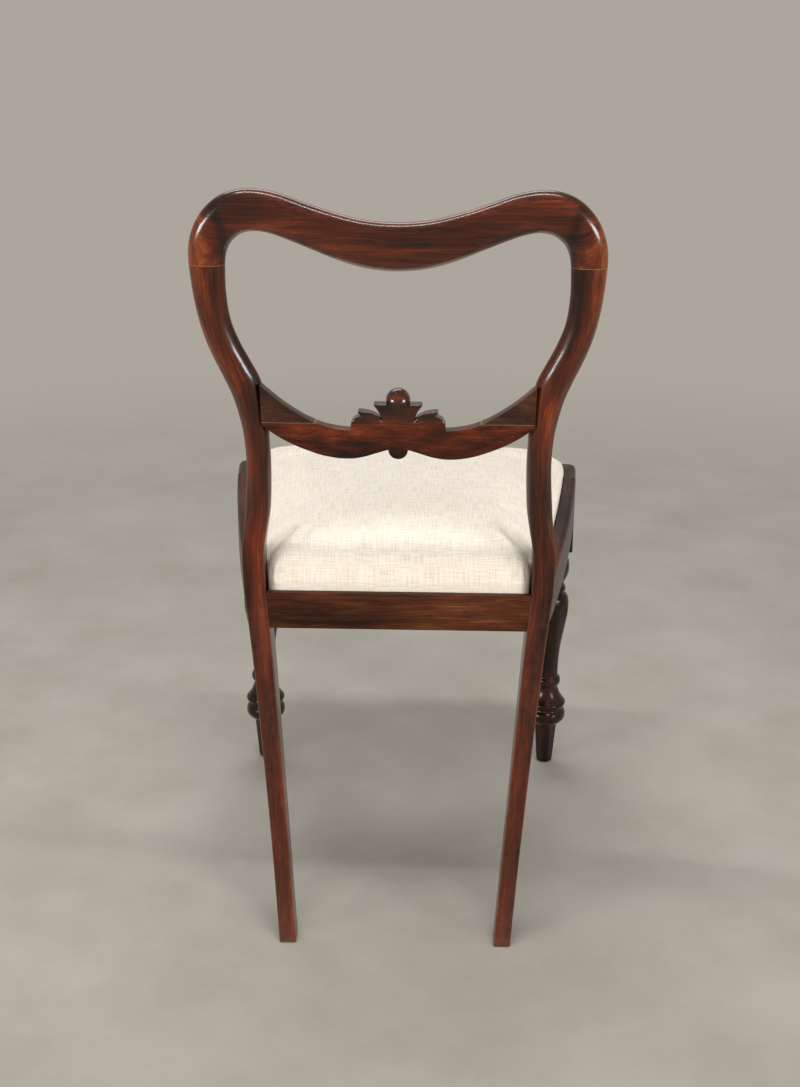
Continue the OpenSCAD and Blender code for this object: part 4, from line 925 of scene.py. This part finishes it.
def linen_pad():
    """The seat's outline climbs the pad's wall, which swells a little, and draws in over the crown."""
    outline = seat_outline(1.2)
    t = np.concatenate([np.linspace(0, 6, 46), np.linspace(6, 10, 26)[1:]])
    s = smooth(PAD, t, 1)[:, None]
    h = smooth(PAD, t, 2)[:, None]
    x = s * mix(outline[:, 0], soft_x(outline), np.clip(4 * (1 - s), 0, 1))
    # Above the frame the side walls lean in by up to 16 mm, least beside the posts
    lean = 16 * step(0.4, 0.95, h) * step(45, 130, outline[:, 1])
    x = x - lean * np.sign(x) * np.clip(np.abs(x) / 60, 0, 1)
    f = PAD_MID_F + s * (outline[:, 1] - PAD_MID_F)
    edge = mix(PAD_REAR_H, PAD_FRONT_H, f / SEAT_D) - PAD_BASE
    z = rail_top(f) + PAD_BASE + edge * h
    swell = 1.6 * np.sin(np.clip((h - 0.2) / 0.75, 0, 1) * math.pi)
    away = outline - np.roll(outline, 3, 0)
    away = unit(np.stack([away[:, 1], -away[:, 0]], 1))
    x = x + swell * away[:, 0]
    f = f + swell * away[:, 1]
    rings = placed(x, f, z)
    middle = rings[0].mean(0)
    under = np.stack([mix(rings[0], middle, share) for share in (0.4, 0.06, 0.012, 0.004)])
    under[..., 2] = rail_top(REAR_Y - under[..., 1]) + PAD_BASE
    return tube(np.concatenate([under, rings]))


def swollen(piece):
    """Presses the pad's skin out from within, as the stuffing does, while the frame holds its lower part.

    The skin is divided anew into faces of 4 mm and simulated as cloth. No point moves by more than 5 mm.
    """
    skin = piece.modifiers.new("skin", "REMESH")
    skin.mode = "VOXEL"
    skin.voxel_size = 0.004
    skin.use_smooth_shade = True
    graph = bpy.context.evaluated_depsgraph_get()
    even = bpy.data.meshes.new_from_object(piece.evaluated_get(graph), depsgraph=graph)
    piece.modifiers.clear()
    piece.data = even
    start = np.empty(3 * len(even.vertices))
    even.vertices.foreach_get("co", start)
    start = start.reshape(-1, 3)
    height = start[:, 2] / MM - rail_top(REAR_Y - start[:, 1] / MM)
    held = piece.vertex_groups.new(name="held")
    held.add(np.flatnonzero(height < FRAME_HIGH).tolist(), 1, "REPLACE")
    cloth = piece.modifiers.new("cloth", "CLOTH")
    cloth.settings.use_pressure = True
    cloth.settings.uniform_pressure_force = 4
    cloth.settings.vertex_group_mass = "held"
    cloth.settings.effector_weights.gravity = 0
    for number in range(1, 21):
        bpy.context.scene.frame_set(number)
    graph = bpy.context.evaluated_depsgraph_get()
    end = np.empty(3 * len(even.vertices))
    piece.evaluated_get(graph).data.vertices.foreach_get("co", end)
    move = end.reshape(-1, 3) - start
    length = np.linalg.norm(move, axis=1, keepdims=True)
    move *= np.minimum(1, 0.005 / np.maximum(length, 1e-9))
    piece.modifiers.clear()
    piece.vertex_groups.clear()
    even.vertices.foreach_set("co", (start + move).ravel())
    bpy.context.scene.frame_set(1)
    fine = piece.modifiers.new("fine", "SUBSURF")
    fine.levels = fine.render_levels = 1


def level_cloth(outline, low, thick, sag):
    """A cloth stretched flat in the rails' plane, closed above and below, which sags in its middle."""
    share = np.concatenate([np.linspace(1, 0.9, 4), np.linspace(0.85, 0.02, 24)])[:, None]
    middle = np.array([0, PAD_MID_F])
    x, f = mix(middle, outline[None], share[..., None]).transpose(2, 0, 1)
    lower = placed(x, f, rail_top(f) + low - sag * step(0.85, 0.2, share))
    return tube(np.concatenate([lower[::-1], lower + np.array([0, 0, thick])]))


def strap(ends, low, thick, width=50.0):
    """A webbing strap between two places in plan, pressed thin, with a woven ripple and soft selvedges.

    The ripple, 0.12 mm up and down, is a sine along the strap times a cosine across it.
    """
    ends = np.asarray(ends, float)
    along = unit(ends[1] - ends[0])
    t = np.linspace(0, 1, 120)[:, None]
    mid = mix(ends[0], ends[1], t)
    flat = rounded_rings(width, thick, thick * 0.45, 2, 12)[0]
    x, f = (mid[:, None] + flat[:, :1] * np.array([-along[1], along[0]])).transpose(2, 0, 1)
    ripple = 0.12 * np.sin(np.arange(120) * math.pi / 2)[:, None] * np.cos(flat[:, 0] * 1.2)
    return tube(placed(x, f, rail_top(f) + low + thick / 2 + 0.9 * flat[:, 1] + ripple))


pad = make("linen_pad", "linen", [linen_pad()], linen, "drop_in_seat", ["linen_cover", "stuffing"])
swollen(pad)

# The seat frame's inner edges, and how far the straps' ends lie over the frame
FRAME_REAR_F = WELL_REAR_F + FRAME_GAP + FRAME_W
FRAME_FRONT_F = BLOCK_FRONT_F - SIDE_LIP - FRAME_GAP - FRONT_GAP - FRAME_W
OVER_FRAME = 31.5
STRAP_T = 1.5


def frame_in(f):
    """The inner edge of the seat frame's side rail."""
    return side_line(f) - SIDE_LIP - FRAME_GAP - FRAME_W


straps = []
for share in (-0.6, 0, 0.6):
    x = share * frame_in(FRAME_REAR_F)
    ends = [[x, FRAME_REAR_F - OVER_FRAME], [x, FRAME_FRONT_F + OVER_FRAME]]
    straps.append(strap(ends, FRAME_HIGH, STRAP_T))
make("webbing_lengthwise_woven", "webbing", straps, jute, "drop_in_seat", ["webbing_lengthwise"])
straps = []
for share in (0.3, 0.52, 0.74):
    f = share * SEAT_D
    reach = frame_in(f) + OVER_FRAME
    straps.append(strap([[-reach, f], [reach, f]], FRAME_HIGH + STRAP_T, STRAP_T))
make("webbing_crosswise_woven", "webbing", straps, jute, "drop_in_seat", ["webbing_crosswise"])
cloth = level_cloth(seat_outline(12.2), FRAME_HIGH + 2 * STRAP_T + 1.3, 1, 0)
made = make("hessian_stretched", "hessian", [cloth], sacking, "drop_in_seat", ["hessian"])
cloth = level_cloth(seat_outline(9), CLOTH_LOW, 0.8, 1.2)
made = make("bottom_cloth_stretched", "bottom_cloth", [cloth], cambric, "drop_in_seat", ["bottom_cloth"])


# ---- Hidden woodwork and fixings keep the chair's own solids

for finish, names in (
    (beech_lengthwise, ["crest_rail_dowels", "seat_frame_left", "seat_frame_right", "seat_frame_dowels"]),
    (beech_across, [
        "cross_rail_dowels", "seat_rail_dowels", "left_rear_corner_block", "right_rear_corner_block",
        "left_front_corner_block", "right_front_corner_block", "seat_frame_rear", "seat_frame_front"
    ]),
    (screw_steel, ["corner_block_screws"]),
    (tack_steel, ["webbing_tacks", "bottom_tacks"]),
):
    for name in names:
        for slot in frame["nodes"][name].material_slots:
            slot.material = finish


# ---- Floor, light and camera

# The floor's colour far off, and the room's behind it
DISTANCE = "#aca69c"


def seen(tree):
    """1 for rays that come from the camera or from a reflection, 0 for those that gather light."""
    rays = node(tree, "LightPath", {})
    shine = node(tree, "Math", {0: rays["Is Glossy Ray"], 1: rays["Is Transmission Ray"]},
                 operation="MAXIMUM")[0]
    return node(tree, "Math", {0: rays["Is Camera Ray"], 1: shine}, operation="MAXIMUM")[0]


def floor():
    """A level square of 600 m, so that no horizon shows behind the chair."""
    count = 15
    side = np.linspace(-300, 300, count)
    x, y = np.meshgrid(side, side)
    points = np.stack([x, y, 0 * x - 0.0004], -1).reshape(-1, 3)
    i = np.arange(count - 1)[:, None] * count + np.arange(count - 1)
    quads = np.stack([i, i + 1, i + count + 1, i + count], -1).reshape(-1, 4)
    mesh = bpy.data.meshes.new("floor")
    mesh.from_pydata(points.tolist(), [], quads.tolist())
    made, tree, skin = material("floor_pale_concrete")
    place = node(tree, "TexCoord", {})["Object"]
    cloud = node(tree, "TexNoise", {"Vector": place, "Scale": 5, "Detail": 6, "Roughness": 0.65})
    colour = node(tree, "ValToRGB", {"Fac": cloud["Fac"]}, stops=[(0.3, "#aba395"), (0.7, "#bbb4a7")])[0]
    feed(skin, {"Base Color": colour, "Roughness": 0.8})
    # From 1.0 to 2.8 m out the floor passes into an even pale ground, which lights nothing
    away = node(tree, "VectorMath", {0: place}, operation="LENGTH")["Value"]
    far = node(tree, "MapRange", {"Value": away, "From Min": 1.0, "From Max": 2.8},
               interpolation_type="SMOOTHSTEP")["Result"]
    share = node(tree, "Math", {0: far, 1: seen(tree)}, operation="MULTIPLY")[0]
    even = node(tree, "Emission", {"Color": linear(DISTANCE)})[0]
    both = node(tree, "MixShader", {0: share, 1: skin.outputs[0], 2: even})[0]
    tree.links.new(both, tree.nodes["Material Output"].inputs["Surface"])
    mesh.materials.append(made)
    ground = bpy.data.objects.new("floor", mesh)
    bpy.context.scene.collection.objects.link(ground)


def world():
    """A plain grey room, dim enough to leave the wood its depth. It looks as pale as the distant floor."""
    made = bpy.data.worlds.new("grey_room")
    made.use_nodes = True
    tree = made.node_tree
    colour = node(tree, "Mix", {0: seen(tree), 6: linear("#7c8288"), 7: linear(DISTANCE)},
                  data_type="RGBA")[2]
    tree.links.new(colour, tree.nodes["Background"].inputs["Color"])
    bpy.context.scene.world = made


def lamp(name, place, target, size, watts, spread=180, mirrored_too=True):
    """A soft square lamp that points at a target; a grid before it may narrow its spread.

    One that the polish doesn't mirror gives it light without a grey sheen.
    """
    light = bpy.data.lights.new(name, "AREA")
    light.shape = "RECTANGLE"
    light.size, light.size_y = size
    light.energy = watts
    light.spread = math.radians(spread)
    made = bpy.data.objects.new(name, light)
    made.visible_camera = False
    made.visible_glossy = mirrored_too
    made.location = place
    aim = np.array(target) - np.array(place)
    made.rotation_euler = (
        math.atan2(math.hypot(aim[0], aim[1]), -aim[2]), 0, math.atan2(aim[1], aim[0]) - math.pi / 2
    )
    bpy.context.scene.collection.objects.link(made)


floor()
world()
# Broad lamps behind the camera and before the chair's face, and narrow ones that the polish mirrors
lamp("key", (-0.5, 3.2, 2.5), (0, 0.1, 0.5), (4.2, 2.8), 58, mirrored_too=False)
lamp("strip", (0.05, 0.5, 2.6), (0, 0.2, 0.5), (1.7, 0.08), 24)
for side, name in ((1, "left_side"), (-1, "right_side")):
    lamp(name, (1.25 * side, 1.0, 0.6), (-0.1 * side, 0.15, 0.62), (0.6, 0.34), 1.9, 60)
lamp("face", (0.5, -1.9, 3.1), (0, 0, 0.4), (2.6, 1.0), 40)

camera = bpy.data.objects.new("camera", bpy.data.cameras.new("camera"))
camera.data.sensor_width = 36
camera.data.lens = 48.36
camera.location = (-0.0491, 1.7138, 1.0592)
camera.rotation_euler = (math.radians(69.526), math.radians(-0.168), math.radians(-178.217))
bpy.context.scene.collection.objects.link(camera)
bpy.context.scene.camera = camera
bpy.context.scene.view_settings.view_transform = "Standard"
